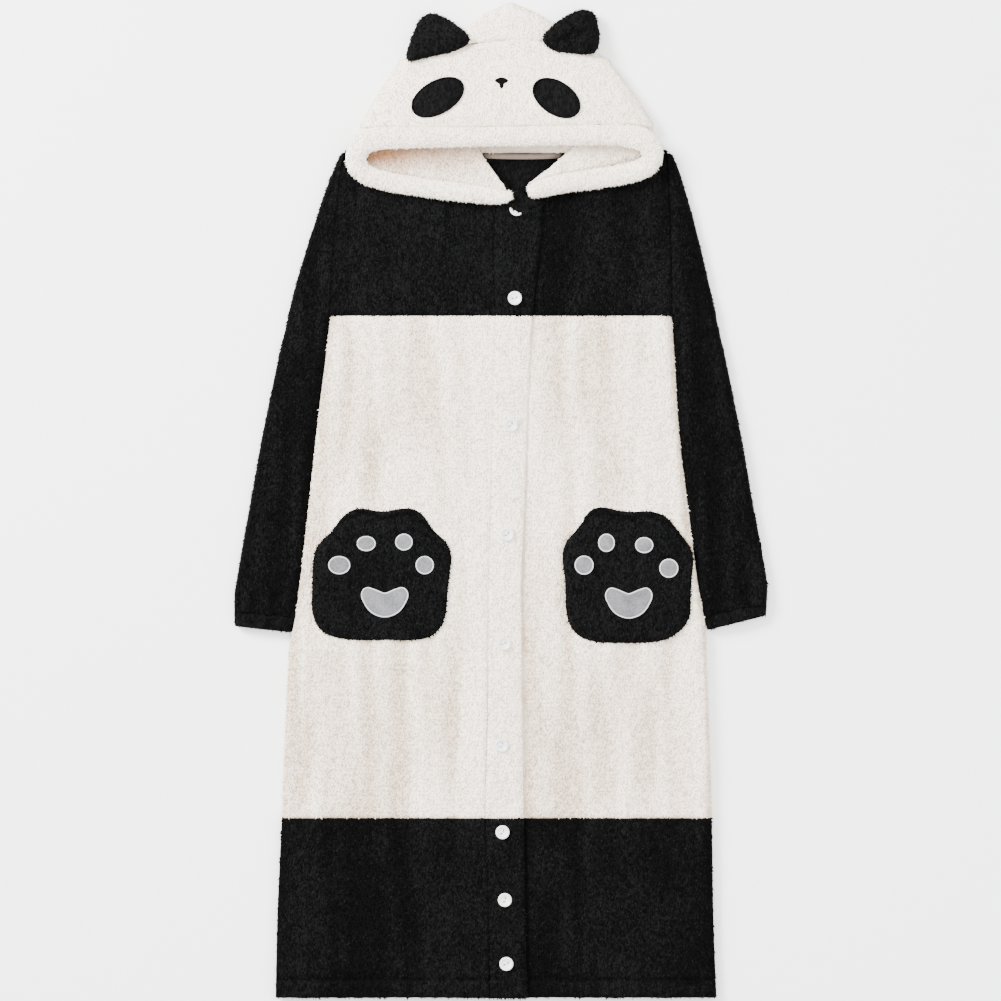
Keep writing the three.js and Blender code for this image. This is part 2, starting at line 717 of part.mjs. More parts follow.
// Gathered cuff: a flattened ring that ripples round its edge.
function cuff(side, finish) {
  const sign = side === "left" ? -1 : 1;
  const count = cuffRipples * 2 + 2;
  const slant = slantAt(side, cuffTopY);
  const outside = at(sleeveSides, side, cuffTopY);
  const narrowing = { foot: 1.8, top: 0.6 }; // drawn in by the elastic
  const fading = 0.35; // share of the ripple that is left at the top
  const flatness = { across: 0.75, up: 0.6 };
  const outer = evenSteps(3).map((t) => {
    const yRow = mix(cuffFootY[side], cuffTopY, t);
    const inside = at(bodySides, side, yRow) + sign * armholeGap;
    const middle = (inside + outside) / 2;
    const width = Math.abs(outside - inside);
    const half = width / 2 - mix(narrowing.foot, narrowing.top, t);
    const ring = circleSteps(count).map((angle, k) => {
      const ripple = cuffRipple * (k % 2 ? -1 : 1) * mix(1, fading, t);
      const x = middle + Math.sign(Math.cos(angle)) * Math.abs(Math.cos(angle)) ** flatness.across * half;
      const swell = Math.sign(Math.sin(angle)) * Math.abs(Math.sin(angle)) ** flatness.up;
      const z = cuffMiddleZ + swell * (cuffSwell + ripple - cuffRipple);
      return new THREE.Vector3(x, yRow + (slant * Math.abs(x - inside)) / width, z);
    });
    return ring.reverse();
  });
  const lowest = Math.min(...outer.flat().map((p) => p.z));
  for (const p of outer.flat()) p.z -= lowest;
  return clothWall(outer, `cuff_${side}`, finish, { thick: () => cuffThick, ring: true });
}

// Hood. Its outline's height over the floor rises where it climbs onto the shoulders.
const hoodSeamZ = (y) => mix(hoodSeamLow, hoodSeamHigh, smooth((540 - y) / 60));

function hoodHeight(x, y) {
  const left = at(hoodSides, "left", y);
  const right = at(hoodSides, "right", y);
  const across = clamp(1 - Math.abs((x - left) / (right - left) - 0.5) * 2);
  const middle = mix(hoodCrownTop, hoodBrimTop, smooth((610 - y) / 125));
  return mix(hoodSideTop, middle, Math.sqrt(across * (2 - across)));
}

// Point between two lines of points: u runs along them, v from the lower to the upper.
function between(bottom, top, u, v) {
  const low = along(bottom, u);
  const high = along(top, u);
  return { x: mix(low.x, high.x, v), y: mix(low.y, high.y, v) };
}

function hoodFace(finish) {
  const columns = 20;
  const spread = evenSteps(columns).map((u) => {
    const turn = u * Math.PI;
    return 0.5 - 0.5 * Math.cos(turn) * (1 - 0.16 * Math.sin(turn)); // closer together at the rolled sides
  });
  const outer = evenSteps(9).map((v) =>
    spread.map((u) => {
      const { y } = between(bandSeam, crownSeam, u, v);
      const left = at(hoodSides, "left", y);
      const right = at(hoodSides, "right", y);
      const x = mix(left, right, u);
      const rise = roll(Math.min(x - left, right - x), hoodRound);
      return new THREE.Vector3(x, y - gap, mix(hoodSeamZ(y) + gap / 2, hoodHeight(x, y), rise));
    }),
  );
  return clothWall(outer, "hood_face", finish, { levelColumns: [0, columns] });
}

function hoodCrown(finish) {
  const columns = 14;
  const ends = 0.04; // share of the seam left free at each end, where the piece runs out
  const outer = [0, 0.35, 0.65, 0.86, 1].map((v) =>
    evenSteps(columns).map((u) => {
      const t = mix(ends, 1 - ends, u);
      const place = between(crownSeam, peakOutline, t, v);
      const foot = along(crownSeam, t);
      const rim = along(peakOutline, t);
      const depth = Math.hypot(rim.x - foot.x, rim.y - foot.y);
      const top = mix(hoodHeight(foot.x, foot.y), hoodSideTop, v);
      const rise = roll(depth * (1 - v), Math.min(hoodRound, depth));
      return new THREE.Vector3(place.x, place.y + gap * (1 - v), mix(hoodSeamLow + gap / 2, top, rise));
    }),
  );
  // The wall is thinner in the last columns, where the piece is only a few millimetres deep.
  const thick = (i, j) => fleece * mix(0.45, 1, clamp((Math.min(j, columns - j)) / 3));
  return clothWall(outer, "hood_crown", finish, { thick, levelRows: [outer.length - 1] });
}

// Under side of the hood: on the floor, then up onto the shoulders either side of the neck.
function hoodBack(finish) {
  const heights = [neckSeamY + gap, 458, 464, 470, 477, 496, 522, 548, 573, 594, 612, 626, 640];
  const shoulderEnd = 476; // the part below it lies on the shoulders
  const climbWidth = 22;
  const outer = heights.map((y) => {
    const left = at(hoodSides, "left", y) + 1;
    const right = at(hoodSides, "right", y) - 1;
    const half = (right - left) / 2;
    const radius = Math.min(hoodRound, half * 0.8);
    const steps = edgeSteps(half, radius, 2, 4);
    const across = [...steps, ...steps.slice(0, -1).reverse().map((s) => 2 * half - s)];
    return across.map((distance) => {
      const x = right - distance;
      const rolled = 1 - roll(Math.min(distance, 2 * half - distance), radius);
      const besideNeck = smooth(1 + Math.max(neckEdges[0].left - x, x - neckEdges[0].right) / climbWidth);
      const climb = besideNeck * smooth((shoulderEnd - y) / 18) * (frontTop + layerGap);
      const z = Math.max(climb, rolled * (hoodSeamLow - gap / 2) * smooth((y - 462) / 20));
      return new THREE.Vector3(x, y, z);
    });
  });
  return clothWall(outer, "hood_back", finish, { levelColumns: [0, outer[0].length - 1] });
}

// Inside of the hood where it turns out over a shoulder beside the neck. Its lower edge and its outer end
// are thinner and run on under the band.
function hoodCheek(side, finish) {
  const left = side === "left";
  const { lower, upper } = cheeks[side];
  const outward = left ? -1 : 1;
  const lowest = frontTop - 1; // it bridges the deeper folds of the front
  const steps = evenSteps(10);
  const columns = left ? [null, ...steps] : [...steps, null];
  const outer = [];
  const inner = [];
  for (const v of [null, ...evenSteps(4)]) {
    const tops = [];
    const undersides = [];
    for (const u of columns) {
      const { x, y } = between(lower, upper, u ?? (left ? 0 : 1), v ?? 0);
      const neck = at(neckEdges, side, y);
      const inward = left ? Math.min(x, neck - gap) : Math.max(x, neck + gap);
      const px = inward + (u === null ? outward * cheekTuck : 0);
      const py = y - (v === null ? cheekTuck : 0);
      const under = Math.max(frontHeight(side, px, py), lowest) + layerGap;
      const thick = u === null || v === null ? cheekRim : fleece;
      tops.push(new THREE.Vector3(px, py, under + thick));
      undersides.push(new THREE.Vector3(px, py, under));
    }
    outer.push(tops);
    inner.push(undersides);
  }
  return solidBetween(outer, inner, false, `hood_cheek_${side}`, finish);
}

// Rolled band round the face opening.
function hoodBand(finish) {
  const centres = new THREE.CatmullRomCurve3(
    bandCourse.map((row) => new THREE.Vector3(row.x, row.y, row.z)),
    false,
    "centripetal",
  );
  const positions = [];
  const triangles = [];
  const flatAngle = ((bandSides / 4 - 0.5) / bandSides) * Math.PI * 2; // ring's last corner before its top
  for (const t of evenSteps(bandSteps)) {
    const centre = centres.getPoint(t);
    const tangent = centres.getTangent(t);
    const aside = new THREE.Vector3(tangent.y, -tangent.x, 0).normalize();
    const place = t * (bandCourse.length - 1);
    const first = Math.min(Math.floor(place), bandCourse.length - 2);
    const width = mix(bandCourse[first].width, bandCourse[first + 1].width, place - first);
    const height = mix(bandCourse[first].height, bandCourse[first + 1].height, place - first);
    for (const angle of circleSteps(bandSides).map((turn) => turn + Math.PI / bandSides)) {
      const outward = (Math.cos(angle) / Math.cos(Math.PI / bandSides)) * (width / 2);
      const upward = (Math.sin(angle) / Math.sin(flatAngle)) * (height / 2);
      const p = centre.clone().addScaledVector(aside, outward);
      positions.push(p.x, p.y, p.z + upward);
    }
  }
  const ringOf = (i, k) => i * bandSides + (k % bandSides);
  for (let i = 0; i < bandSteps; i++) {
    for (let k = 0; k < bandSides; k++) {
      const a = ringOf(i, k);
      const b = ringOf(i, k + 1);
      const c = ringOf(i + 1, k + 1);
      const d = ringOf(i + 1, k);
      triangles.push(a, c, b, a, d, c);
    }
  }
  for (let k = 1; k < bandSides - 1; k++) {
    triangles.push(0, k, k + 1);
    triangles.push(ringOf(bandSteps, 0), ringOf(bandSteps, k + 1), ringOf(bandSteps, k));
  }
  return meshOf(positions, triangles, "hood_band", finish);
}

// Patch that lies on another surface: rings of an outline that is seen whole from its centre. Its edge is
// rounded down to the share rimShare of its thickness.
const rimShare = 0.45;

function patch(outline, centre, under, thick, shape, name, finish) {
  const { spokes, rings } = shape;
  const closed = new THREE.CatmullRomCurve3(
    outline.map((p) => new THREE.Vector3(p.x, p.y, 0)),
    true,
    "centripetal",
  );
  const rim = closed.getSpacedPoints(spokes).slice(0, spokes);
  if (THREE.ShapeUtils.area(rim) < 0) rim.reverse();
  const place = (r, k) => ({
    x: mix(centre.x, rim[k % spokes].x, r),
    y: mix(centre.y, rim[k % spokes].y, r),
  });
  const reach = rim.map((p) => Math.hypot(p.x - centre.x, p.y - centre.y));
  const topOf = (r, k) => {
    const p = place(r, k);
    const edge = roll((1 - r) * reach[k % spokes], thick * 0.8);
    return under(p.x, p.y) + thick * mix(rimShare, 1, edge);
  };
  const positions = [];
  for (const onTop of [true, false]) {
    positions.push(centre.x, centre.y, onTop ? topOf(0, 0) : under(centre.x, centre.y));
    for (const r of rings) {
      for (let k = 0; k < spokes; k++) {
        const p = place(r, k);
        positions.push(p.x, p.y, onTop ? topOf(r, k) : under(p.x, p.y));
      }
    }
  }
  const half = 1 + rings.length * spokes;
  const top = (ring, k) => 1 + ring * spokes + (k % spokes);
  const low = (ring, k) => half + top(ring, k);
  const last = rings.length - 1;
  const triangles = [];
  for (let k = 0; k < spokes; k++) {
    triangles.push(0, top(0, k), top(0, k + 1));
    triangles.push(half, low(0, k + 1), low(0, k));
    for (let ring = 0; ring < last; ring++) {
      const [a, b, c, d] = [top(ring, k), top(ring + 1, k), top(ring + 1, k + 1), top(ring, k + 1)];
      triangles.push(a, b, c, a, c, d);
      triangles.push(half + a, half + c, half + b, half + a, half + d, half + c);
    }
    triangles.push(top(last, k), low(last, k), low(last, k + 1));
    triangles.push(top(last, k), low(last, k + 1), top(last, k + 1));
  }
  return meshOf(positions, triangles, name, finish);
}

function oval(place, points) {
  return circleSteps(points).map((angle) => ({
    x: place.x + (Math.cos(angle) * place.width) / 2,
    y: place.y + (Math.sin(angle) * place.height) / 2,
  }));
}

// Closed outline from the right half of one, which runs from its top to its foot.
function mirrored(half, place) {
  const others = half.slice(1, -1).reverse().map((p) => ({ x: -p.x, y: p.y }));
  return [...half, ...others].map((p) => ({
    x: place.x + p.x * place.width,
    y: place.y + p.y * place.height,
  }));
}

// Rounded heart: two shoulders, a shallow dip between them and a blunt foot.
function heart(place) {
  const half = [
    { x: 0, y: 0.3 },
    { x: 0.22, y: 0.44 },
    { x: 0.4, y: 0.5 },
    { x: 0.5, y: 0.28 },
    { x: 0.44, y: -0.06 },
    { x: 0.28, y: -0.36 },
    { x: 0, y: -0.5 },
  ];
  return mirrored(half, place);
}

function pocket(side) {
  const { centre, outline, toes, palm } = pockets[side];
  const onFront = (x, y) => frontHeight(side, x, y) + layerGap + gap;
  const shape = { spokes: 34, rings: [0.6, 0.93, 1] };
  patch(outline, centre, onFront, pocketThick, shape, `pocket_${side}`, black);
  const onPocket = (x, y) => onFront(x, y) + pocketThick + gap;
  const toeShape = { spokes: 12, rings: [0.8, 1] };
  toes.forEach((toe, i) => {
    const name = `pad_${side}_toe_${i + 1}`;
    patch(oval(toe, toeShape.spokes), toe, onPocket, padThick, toeShape, name, silver);
  });
  const palmShape = { spokes: 20, rings: [0.8, 1] };
  patch(heart(palm), palm, onPocket, padThick, palmShape, `pad_${side}_palm`, silver);
}

function ear(side) {
  const { centre, outline } = ears[side];
  const under = (x, y) => {
    const root = hoodHeight(x, Math.min(y, acrossAt(crownSeam, x))) + layerGap;
    const overPeak = y - acrossAt(peakOutline, x) + earDroop / 5;
    return mix(root, earTipLift, smooth(overPeak / earDroop));
  };
  patch(outline, centre, under, earThick, { spokes: 20, rings: [0.55, 0.86, 1] }, `ear_${side}`, black);
}

function eyePatch(side) {
  const eye = eyePatches[side];
  const turn = THREE.MathUtils.degToRad(eye.tilt);
  const outline = circleSteps(16).map((angle) => {
    const u = Math.cos(angle) * eye.long;
    const w = Math.sin(angle) * eye.short;
    return {
      x: eye.x + u * Math.cos(turn) - w * Math.sin(turn),
      y: eye.y + u * Math.sin(turn) + w * Math.cos(turn),
    };
  });
  const onHood = (x, y) => hoodHeight(x, y) + layerGap;
  patch(outline, eye, onHood, eyePatchThick, { spokes: 20, rings: [0.6, 1] }, `eye_patch_${side}`, black);
}

function noseMark() {
  const half = [
    { x: 0, y: 0.5 },
    { x: 0.28, y: 0.42 },
    { x: 0.5, y: 0.2 },
    { x: 0.36, y: 0.05 },
    { x: 0.16, y: -0.08 },
    { x: 0.14, y: -0.32 },
    { x: 0, y: -0.5 },
  ];
  const centre = { x: nose.x, y: nose.y + nose.height * 0.12 };
  const onHood = (x, y) => hoodHeight(x, y) + layerGap;
  const shape = { spokes: 30, rings: [1] };
  patch(mirrored(half, nose), centre, onHood, noseThick, shape, "nose_mark", black);
}

// Sew-through button: raised rim, dished middle and two holes.
const buttonProfile = [
  { r: 0, h: 0 },
  { r: buttonRadius - 1, h: 0 },
  { r: buttonRadius, h: 1.2 },
  { r: buttonRadius - 0.4, h: buttonHeight },
  { r: buttonRadius - 2, h: buttonHeight },
  { r: buttonRadius - 3, h: buttonHeight - 1.1 },
  { r: 0, h: buttonHeight - 1.1 },
];

function solidFrom(geometry) {
  const bare = geometry.clone();
  bare.deleteAttribute("normal");
  bare.deleteAttribute("uv");
  const merged = mergeVertices(bare, 1e-4);
  return new wasm.Manifold(
    new wasm.Mesh({
      numProp: 3,
      vertProperties: new Float32Array(merged.attributes.position.array),
      triVerts: new Uint32Array(merged.index.array),
    }),
  );
}

function buttonGeometry() {
  const profile = buttonProfile.map(({ r, h }) => new THREE.Vector2(r, h));
  let solid = solidFrom(new THREE.LatheGeometry(profile, 12));
  for (const side of [-1, 1]) {
    const hole = new THREE.CylinderGeometry(buttonHoleRadius, buttonHoleRadius, buttonHeight * 2, 4);
    hole.translate(side * buttonHoleSpread, buttonHeight / 2, 0);
    solid = solid.subtract(solidFrom(hole));
  }
  const cut = solid.getMesh();
  const geometry = new THREE.BufferGeometry();
  geometry.setAttribute("position", new THREE.BufferAttribute(cut.vertProperties, 3));
  geometry.setIndex(new THREE.BufferAttribute(cut.triVerts, 1));
  geometry.rotateX(Math.PI / 2);
  geometry.computeVertexNormals();
  return geometry;
}

function buttons() {
  const geometry = buttonGeometry();
  buttonPlaces.forEach((place, i) => {
    const mesh = new THREE.Mesh(geometry, new THREE.MeshStandardMaterial(pearl));
    mesh.position.set(place.x, place.y, placketTop + gap);
    mesh.name = `button_${i + 1}`;
    robe.add(mesh);
  });
}

// Tape that covers the back neck seam, on the inside of the back yoke.
function neckTape() {
  const rowAt = (y, z) =>
    evenSteps(6).map((t) => {
      const sag = tape.sag * (1 - (2 * t - 1) ** 2);
      return new THREE.Vector3(mix(tape.left, tape.right, t), y - sag, z);
    });
  const under = fleece + gap;
  const edges = [tape.low, tape.low + tape.width];
  const outer = edges.map((y) => rowAt(y, under + tape.thick));
  const inner = edges.map((y) => rowAt(y, under));
  return solidBetween(outer, inner, false, "neck_tape", beige);
}

const colours = { yoke: black, body: cream, lower: black };
for (const [kind, colour] of Object.entries(colours)) {
  backPanel(kind, 2, colour);
  frontPanel("left", kind, colour);
  frontPanel("right", kind, colour);
  placket(kind, colour);
}
for (const side of ["left", "right"]) {
  for (const stretch of Object.keys(sleeveStretches)) sleeve(side, stretch, black);
  cuff(side, black);
  hoodCheek(side, cream);
  pocket(side);
  ear(side);
  eyePatch(side);
}
hoodFace(cream);
hoodCrown(cream);
hoodBack(cream);
hoodBand(cream);
noseMark();
neckTape();
buttons();

export default robe;
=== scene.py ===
import math
import bpy
import bmesh
from mathutils import Matrix, Vector, noise
from mathutils.bvhtree import BVHTree


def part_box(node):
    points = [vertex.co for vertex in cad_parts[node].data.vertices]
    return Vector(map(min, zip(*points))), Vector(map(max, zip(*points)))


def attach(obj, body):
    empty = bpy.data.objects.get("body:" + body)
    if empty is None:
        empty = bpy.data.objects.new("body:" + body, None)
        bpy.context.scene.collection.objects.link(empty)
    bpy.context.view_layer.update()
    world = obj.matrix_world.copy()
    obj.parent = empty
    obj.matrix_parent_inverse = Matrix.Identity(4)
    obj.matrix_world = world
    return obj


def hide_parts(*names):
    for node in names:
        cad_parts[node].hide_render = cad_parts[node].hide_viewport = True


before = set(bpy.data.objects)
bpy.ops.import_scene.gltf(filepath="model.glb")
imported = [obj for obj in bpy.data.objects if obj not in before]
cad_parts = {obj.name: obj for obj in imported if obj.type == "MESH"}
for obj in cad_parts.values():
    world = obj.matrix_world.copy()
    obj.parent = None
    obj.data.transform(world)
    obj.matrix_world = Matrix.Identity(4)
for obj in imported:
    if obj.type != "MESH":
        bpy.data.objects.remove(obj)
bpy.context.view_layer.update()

mm = 0.001


# Shader values that add, subtract and multiply as numbers do

class Sock:
    def __init__(self, graph, socket):
        self.graph = graph
        self.socket = socket

    def math(self, operation, other=0.0, swap=False, clamp=False):
        first, second = (other, self) if swap else (self, other)
        settings = {"operation": operation, "use_clamp": clamp}
        return self.graph.node("ShaderNodeMath", settings, {0: first, 1: second})

    def __add__(self, other):
        return self.math("ADD", other)

    def __sub__(self, other):
        return self.math("SUBTRACT", other)

    def __rsub__(self, other):
        return self.math("SUBTRACT", other, swap=True)

    def __mul__(self, other):
        return self.math("MULTIPLY", other)

    __radd__ = __add__
    __rmul__ = __mul__

    def clamped(self):
        return self.math("ADD", 0.0, clamp=True)


class Graph:
    def __init__(self, name):
        self.material = bpy.data.materials.new(name)
        self.material.use_nodes = True
        self.tree = self.material.node_tree
        self.tree.nodes.clear()

    def node(self, kind, settings=None, inputs=None, output=0):
        made = self.tree.nodes.new(kind)
        for key, value in (settings or {}).items():
            setattr(made, key, value)
        for key, value in (inputs or {}).items():
            if isinstance(value, Sock):
                self.tree.links.new(value.socket, made.inputs[key])
            else:
                made.inputs[key].default_value = value
        return Sock(self, made.outputs[output])

    def mixColour(self, factor, first, second):
        return self.node("ShaderNodeMix", {"data_type": "RGBA"}, {0: factor, 6: first, 7: second}, 2)

    def bent(self, place, size, reach):
        kind = "ShaderNodeVectorMath"
        drift = self.node("ShaderNodeTexNoise", None,
                          {"Vector": place, "Scale": 1 / size, "Detail": 1.0}, 1)
        centred = self.node(kind, {"operation": "SUBTRACT"}, {0: drift, 1: (0.5, 0.5, 0.5)})
        moved = self.node(kind, {"operation": "SCALE"}, {0: centred, "Scale": reach})
        return self.node(kind, {"operation": "ADD"}, {0: place, 1: moved})

    def finish(self, shader):
        out = self.tree.nodes.new("ShaderNodeOutputMaterial")
        self.tree.links.new(shader.socket, out.inputs["Surface"])
        return self.material


def rgb(hexText):
    channels = [int(hexText[i:i + 2], 16) / 255 for i in (1, 3, 5)]
    linear = [c / 12.92 if c < 0.04045 else ((c + 0.055) / 1.055) ** 2.4 for c in channels]
    return (*linear, 1.0)


# Fleece: tufts of pile, curls in them, fine streaks down the cloth and wisps along its folds. Its colour
# holds painted light and shade: it is lighter on raised tufts and streaks and darker between them, which is
# partly random tone and partly painted shade. The wisps paint the shade and light of fine folds, and the
# shade attribute paints shade in folds and creases

fleece = {
    "tuftSize": 5.0 * mm,
    "curlSize": 2.8 * mm,
    "streakSize": 1.5 * mm,
    "bumpDepth": 1.5 * mm,
    "tuftStretch": (1.0, 0.6, 1.0),
    "streakStretch": (1.0, 0.3, 1.0),
    "wispSize": 10 * mm,
    "wispStretch": (1.0, 0.14, 1.0),
    "bendSize": 60 * mm,
    "bend": 22 * mm,
    "cloudScale": 16.0,
    "rise": {"tufts": 0.8, "curls": 0.4, "streaks": 0.35},
    "roughness": 0.95,
    "sheenRoughness": 0.5,
}


def fleeceMaterial(name, look, tinted=False, fade=None):
    g = Graph(name)
    place = g.node("ShaderNodeTexCoord", output=3)
    bent = g.bent(place, fleece["bendSize"], fleece["bend"])
    flow = g.node("ShaderNodeMapping", None, {0: bent, 3: fleece["tuftStretch"]})
    run = g.node("ShaderNodeMapping", None, {0: bent, 3: fleece["streakStretch"]})
    tufts = g.node("ShaderNodeTexNoise", None,
                   {"Vector": flow, "Scale": 1 / fleece["tuftSize"], "Detail": 2.0, "Roughness": 0.55})
    curls = g.node("ShaderNodeTexVoronoi", {"feature": "SMOOTH_F1"},
                   {"Vector": flow, "Scale": 1 / fleece["curlSize"], "Smoothness": 0.6})
    streaks = g.node("ShaderNodeTexNoise", None,
                     {"Vector": run, "Scale": 1 / fleece["streakSize"], "Detail": 2.0, "Distortion": 0.4})
    fall = g.node("ShaderNodeMapping", None, {0: bent, 3: fleece["wispStretch"]})
    wisps = g.node("ShaderNodeTexNoise", None,
                   {"Vector": fall, "Scale": 1 / fleece["wispSize"], "Detail": 2.0, "Roughness": 0.6})
    cloud = g.node("ShaderNodeTexNoise", None,
                   {"Vector": place, "Scale": fleece["cloudScale"], "Detail": 1.0})
    rise = fleece["rise"]
    height = tufts * rise["tufts"] + (1 - curls) * rise["curls"] + streaks * rise["streaks"]
    bump = g.node("ShaderNodeBump", None,
                  {"Strength": look["relief"], "Distance": fleece["bumpDepth"], "Height": height})
    shade = g.node("ShaderNodeAttribute", {"attribute_name": "shade"}, None, 2)
    # Tone: cloud and lock tint vary at random. Tufts and streaks are partly random tone and partly painted
    # shade between raised tufts. Wisps paint the shade and light of fine folds
    tone = (tufts - 0.5) * look["tufts"] + (streaks - 0.5) * look["streaks"]
    tone = tone + (cloud - 0.5) * look["cloud"] + (wisps - 0.5) * look["wisps"]
    tone = tone + look["middle"]
    if tinted:
        tint = g.node("ShaderNodeAttribute", {"attribute_name": "tint"}, None, 2)
        tone = tone + (tint - 0.5) * look["locks"]
    # Painted shade in folds, creases and stitched lines, from the shade attribute
    tone = tone - shade * look["folds"]
    # Painted light and shade: the tone runs from the shaded colour through mid to the lit one
    colour = g.mixColour((tone * 2).clamped(), look["deep"], look["mid"])
    colour = g.mixColour((tone * 2 - 1).clamped(), colour, look["lit"])
    # Painted shade strip on the hood's inside: darker from its lower edge up to the band above, most away
    # from its middle
    if fade:
        across = g.node("ShaderNodeSeparateXYZ", None, {0: place}, 0)
        up = g.node("ShaderNodeSeparateXYZ", None, {0: place}, 1)
        ends = ((across - fade["middle"]).math("ABSOLUTE") * (1 / fade["reach"])).clamped()
        inside = ((up - fade["from"]) * (1 / fade["over"]) + (cloud - 0.5) * fade["drift"]).clamped()
        inside = inside * ((fade["until"] - up) * fade["sharpness"]).clamped()
        strength = inside * (ends * (1 - fade["least"]) + fade["least"])
        colour = g.mixColour(strength, colour, fade["colour"])
    shader = g.node("ShaderNodeBsdfPrincipled", None, {
        "Base Color": colour,
        "Roughness": fleece["roughness"],
        "Specular IOR Level": look["gloss"],
        "Sheen Weight": look["sheen"],
        "Sheen Roughness": fleece["sheenRoughness"],
        "Sheen Tint": look["lit"],
        "Normal": bump,
    })
    return g.finish(shader)


# Plain cloth, thread, resin and floor: a fine speck and a broad cloud between two colours

plain = {
    "cloudScale": 0.12,
    "bumpStrength": 0.8,
    "speck": 0.9,
    "cloud": 0.6,
    "offset": -0.25,
    "roughnessSpread": 0.2,
    "coatRoughness": 0.2,
}


def plainMaterial(name, low, high, grain, bumpDepth, roughness, coat=0.0, gloss=0.3):
    g = Graph(name)
    place = g.node("ShaderNodeTexCoord", output=3)
    speck = g.node("ShaderNodeTexNoise", None, {"Vector": place, "Scale": 1 / grain, "Detail": 2.0})
    cloud = g.node("ShaderNodeTexNoise", None,
                   {"Vector": place, "Scale": plain["cloudScale"] / grain, "Detail": 1.0})
    bump = g.node("ShaderNodeBump", None,
                  {"Strength": plain["bumpStrength"], "Distance": bumpDepth, "Height": speck})
    blend = speck * plain["speck"] + cloud * plain["cloud"] + plain["offset"]
    colour = g.mixColour(blend.clamped(), low, high)
    spread = plain["roughnessSpread"]
    shader = g.node("ShaderNodeBsdfPrincipled", None, {
        "Base Color": colour,
        "Roughness": (speck * spread + (roughness - spread / 2)).clamped(),
        "Specular IOR Level": gloss,
        "Coat Weight": coat,
        "Coat Roughness": plain["coatRoughness"],
        "Normal": bump,
    })
    return g.finish(shader)


# The lining's painted shade strip, standing in for the shade under the hood's band: from its lower edge up
# to its top, strongest at the left end
liningShadeStrip = {
    "from": 0.410, "over": 0.036, "until": 0.463, "sharpness": 200, "drift": 0.6,
    "middle": 0.09, "reach": 0.24, "least": 0.12, "colour": rgb("#8f6a4c"),
}
# Fleece colours: shaded, mid and lit are the cloth in shade, in even light and in full light, so the tone
# between them is painted light and shade. folds weighs the painted shade from the shade attribute
cream = {
    "deep": rgb("#c4af97"), "mid": rgb("#e1d2bf"), "lit": rgb("#f9efe1"), "relief": 0.5, "middle": 0.82,
    "tufts": 0.95, "streaks": 0.4, "cloud": 0.2, "wisps": 0.45, "locks": 0.45, "folds": 0.6,
    "sheen": 0.1, "gloss": 0.1,
}
black = {
    "deep": rgb("#010101"), "mid": rgb("#040404"), "lit": rgb("#111112"), "relief": 0.9, "middle": 0.6,
    "tufts": 0.7, "streaks": 1.4, "cloud": 0.35, "wisps": 0.3, "locks": 0.9, "folds": 0.3,
    "sheen": 0.02, "gloss": 0.05,
}
creamFleece = fleeceMaterial("creamFleece", cream)
creamLocks = fleeceMaterial("creamLocks", cream, tinted=True)
# The hood's inside carries the lining's painted shade strip
hoodInside = fleeceMaterial("hoodInside", cream, fade=liningShadeStrip)
hoodInsideLocks = fleeceMaterial("hoodInsideLocks", cream, tinted=True, fade=liningShadeStrip)
blackFleece = fleeceMaterial("blackFleece", black)
blackLocks = fleeceMaterial("blackLocks", black, tinted=True)
padSatin = plainMaterial(
    "padSatin", rgb("#303032"), rgb("#7e7e81"),
    grain=2 * mm, bumpDepth=0.4 * mm, roughness=0.7, gloss=0.2)
satinStitch = plainMaterial(
    "satinStitch", rgb("#8a8a8b"), rgb("#d2d2d2"), grain=0.5 * mm, bumpDepth=0.3 * mm, roughness=0.5)
blackStitch = plainMaterial(
    "blackStitch", rgb("#020202"), rgb("#060606"),
    grain=0.5 * mm, bumpDepth=0.3 * mm, roughness=0.9, gloss=0.05)
pearlButton = plainMaterial(
    "pearlButton", rgb("#d6d4d1"), rgb("#eeedeb"),
    grain=5 * mm, bumpDepth=0.05 * mm, roughness=0.35, coat=0.4)
whiteThread = plainMaterial(
    "whiteThread", rgb("#c9c9c7"), rgb("#f4f4f2"), grain=0.4 * mm, bumpDepth=0.2 * mm, roughness=0.6)
# The tape is coloured darker than its own light silvery beige: painted shade, as it lies in the shade under
# the hood
tapeWeave = plainMaterial(
    "tapeWeave", rgb("#5a4c42"), rgb("#8f8175"), grain=0.7 * mm, bumpDepth=0.2 * mm, roughness=0.6)
print("materials ready")


# Cloth shells, made from the solids' own surfaces

cloth = {
    "cell": 3.6 * mm,
    "smoothing": 8,
    "clump": 1.0 * mm,
    "clumpSize": 9 * mm,
    "wave": 0.9 * mm,
    "waveSize": 50 * mm,
    "seamSwell": 0.35 * mm,
    "seamReach": 1.0 * mm,
    # shadeTop, shadeDepth and lineShade set the painted shade in folds, creases and stitched lines
    "shadeTop": 17.0 * mm,
    "shadeDepth": 2.8 * mm,
    "fallWidth": 21 * mm,
    "fallLength": 190 * mm,
    "fallHeight": 3.2 * mm,
    "frontLow": 12 * mm,
    "fallSeed": 2.7,
    "weld": 0.02 * mm,
    "rimWeld": 0.45 * mm,
    "capReach": 2 * mm,
    "splitPasses": 7,
    "splitOver": 1.45,
    "seamSlope": 0.85,
    "wallSlope": 0.6,
    "underSlope": -0.6,
    "underHeight": 3 * mm,
    "wallShare": 0.5,
    "waveStretch": 0.45,
    "lineShade": 1.2 * mm,
    "lapReach": 1 * mm,
}
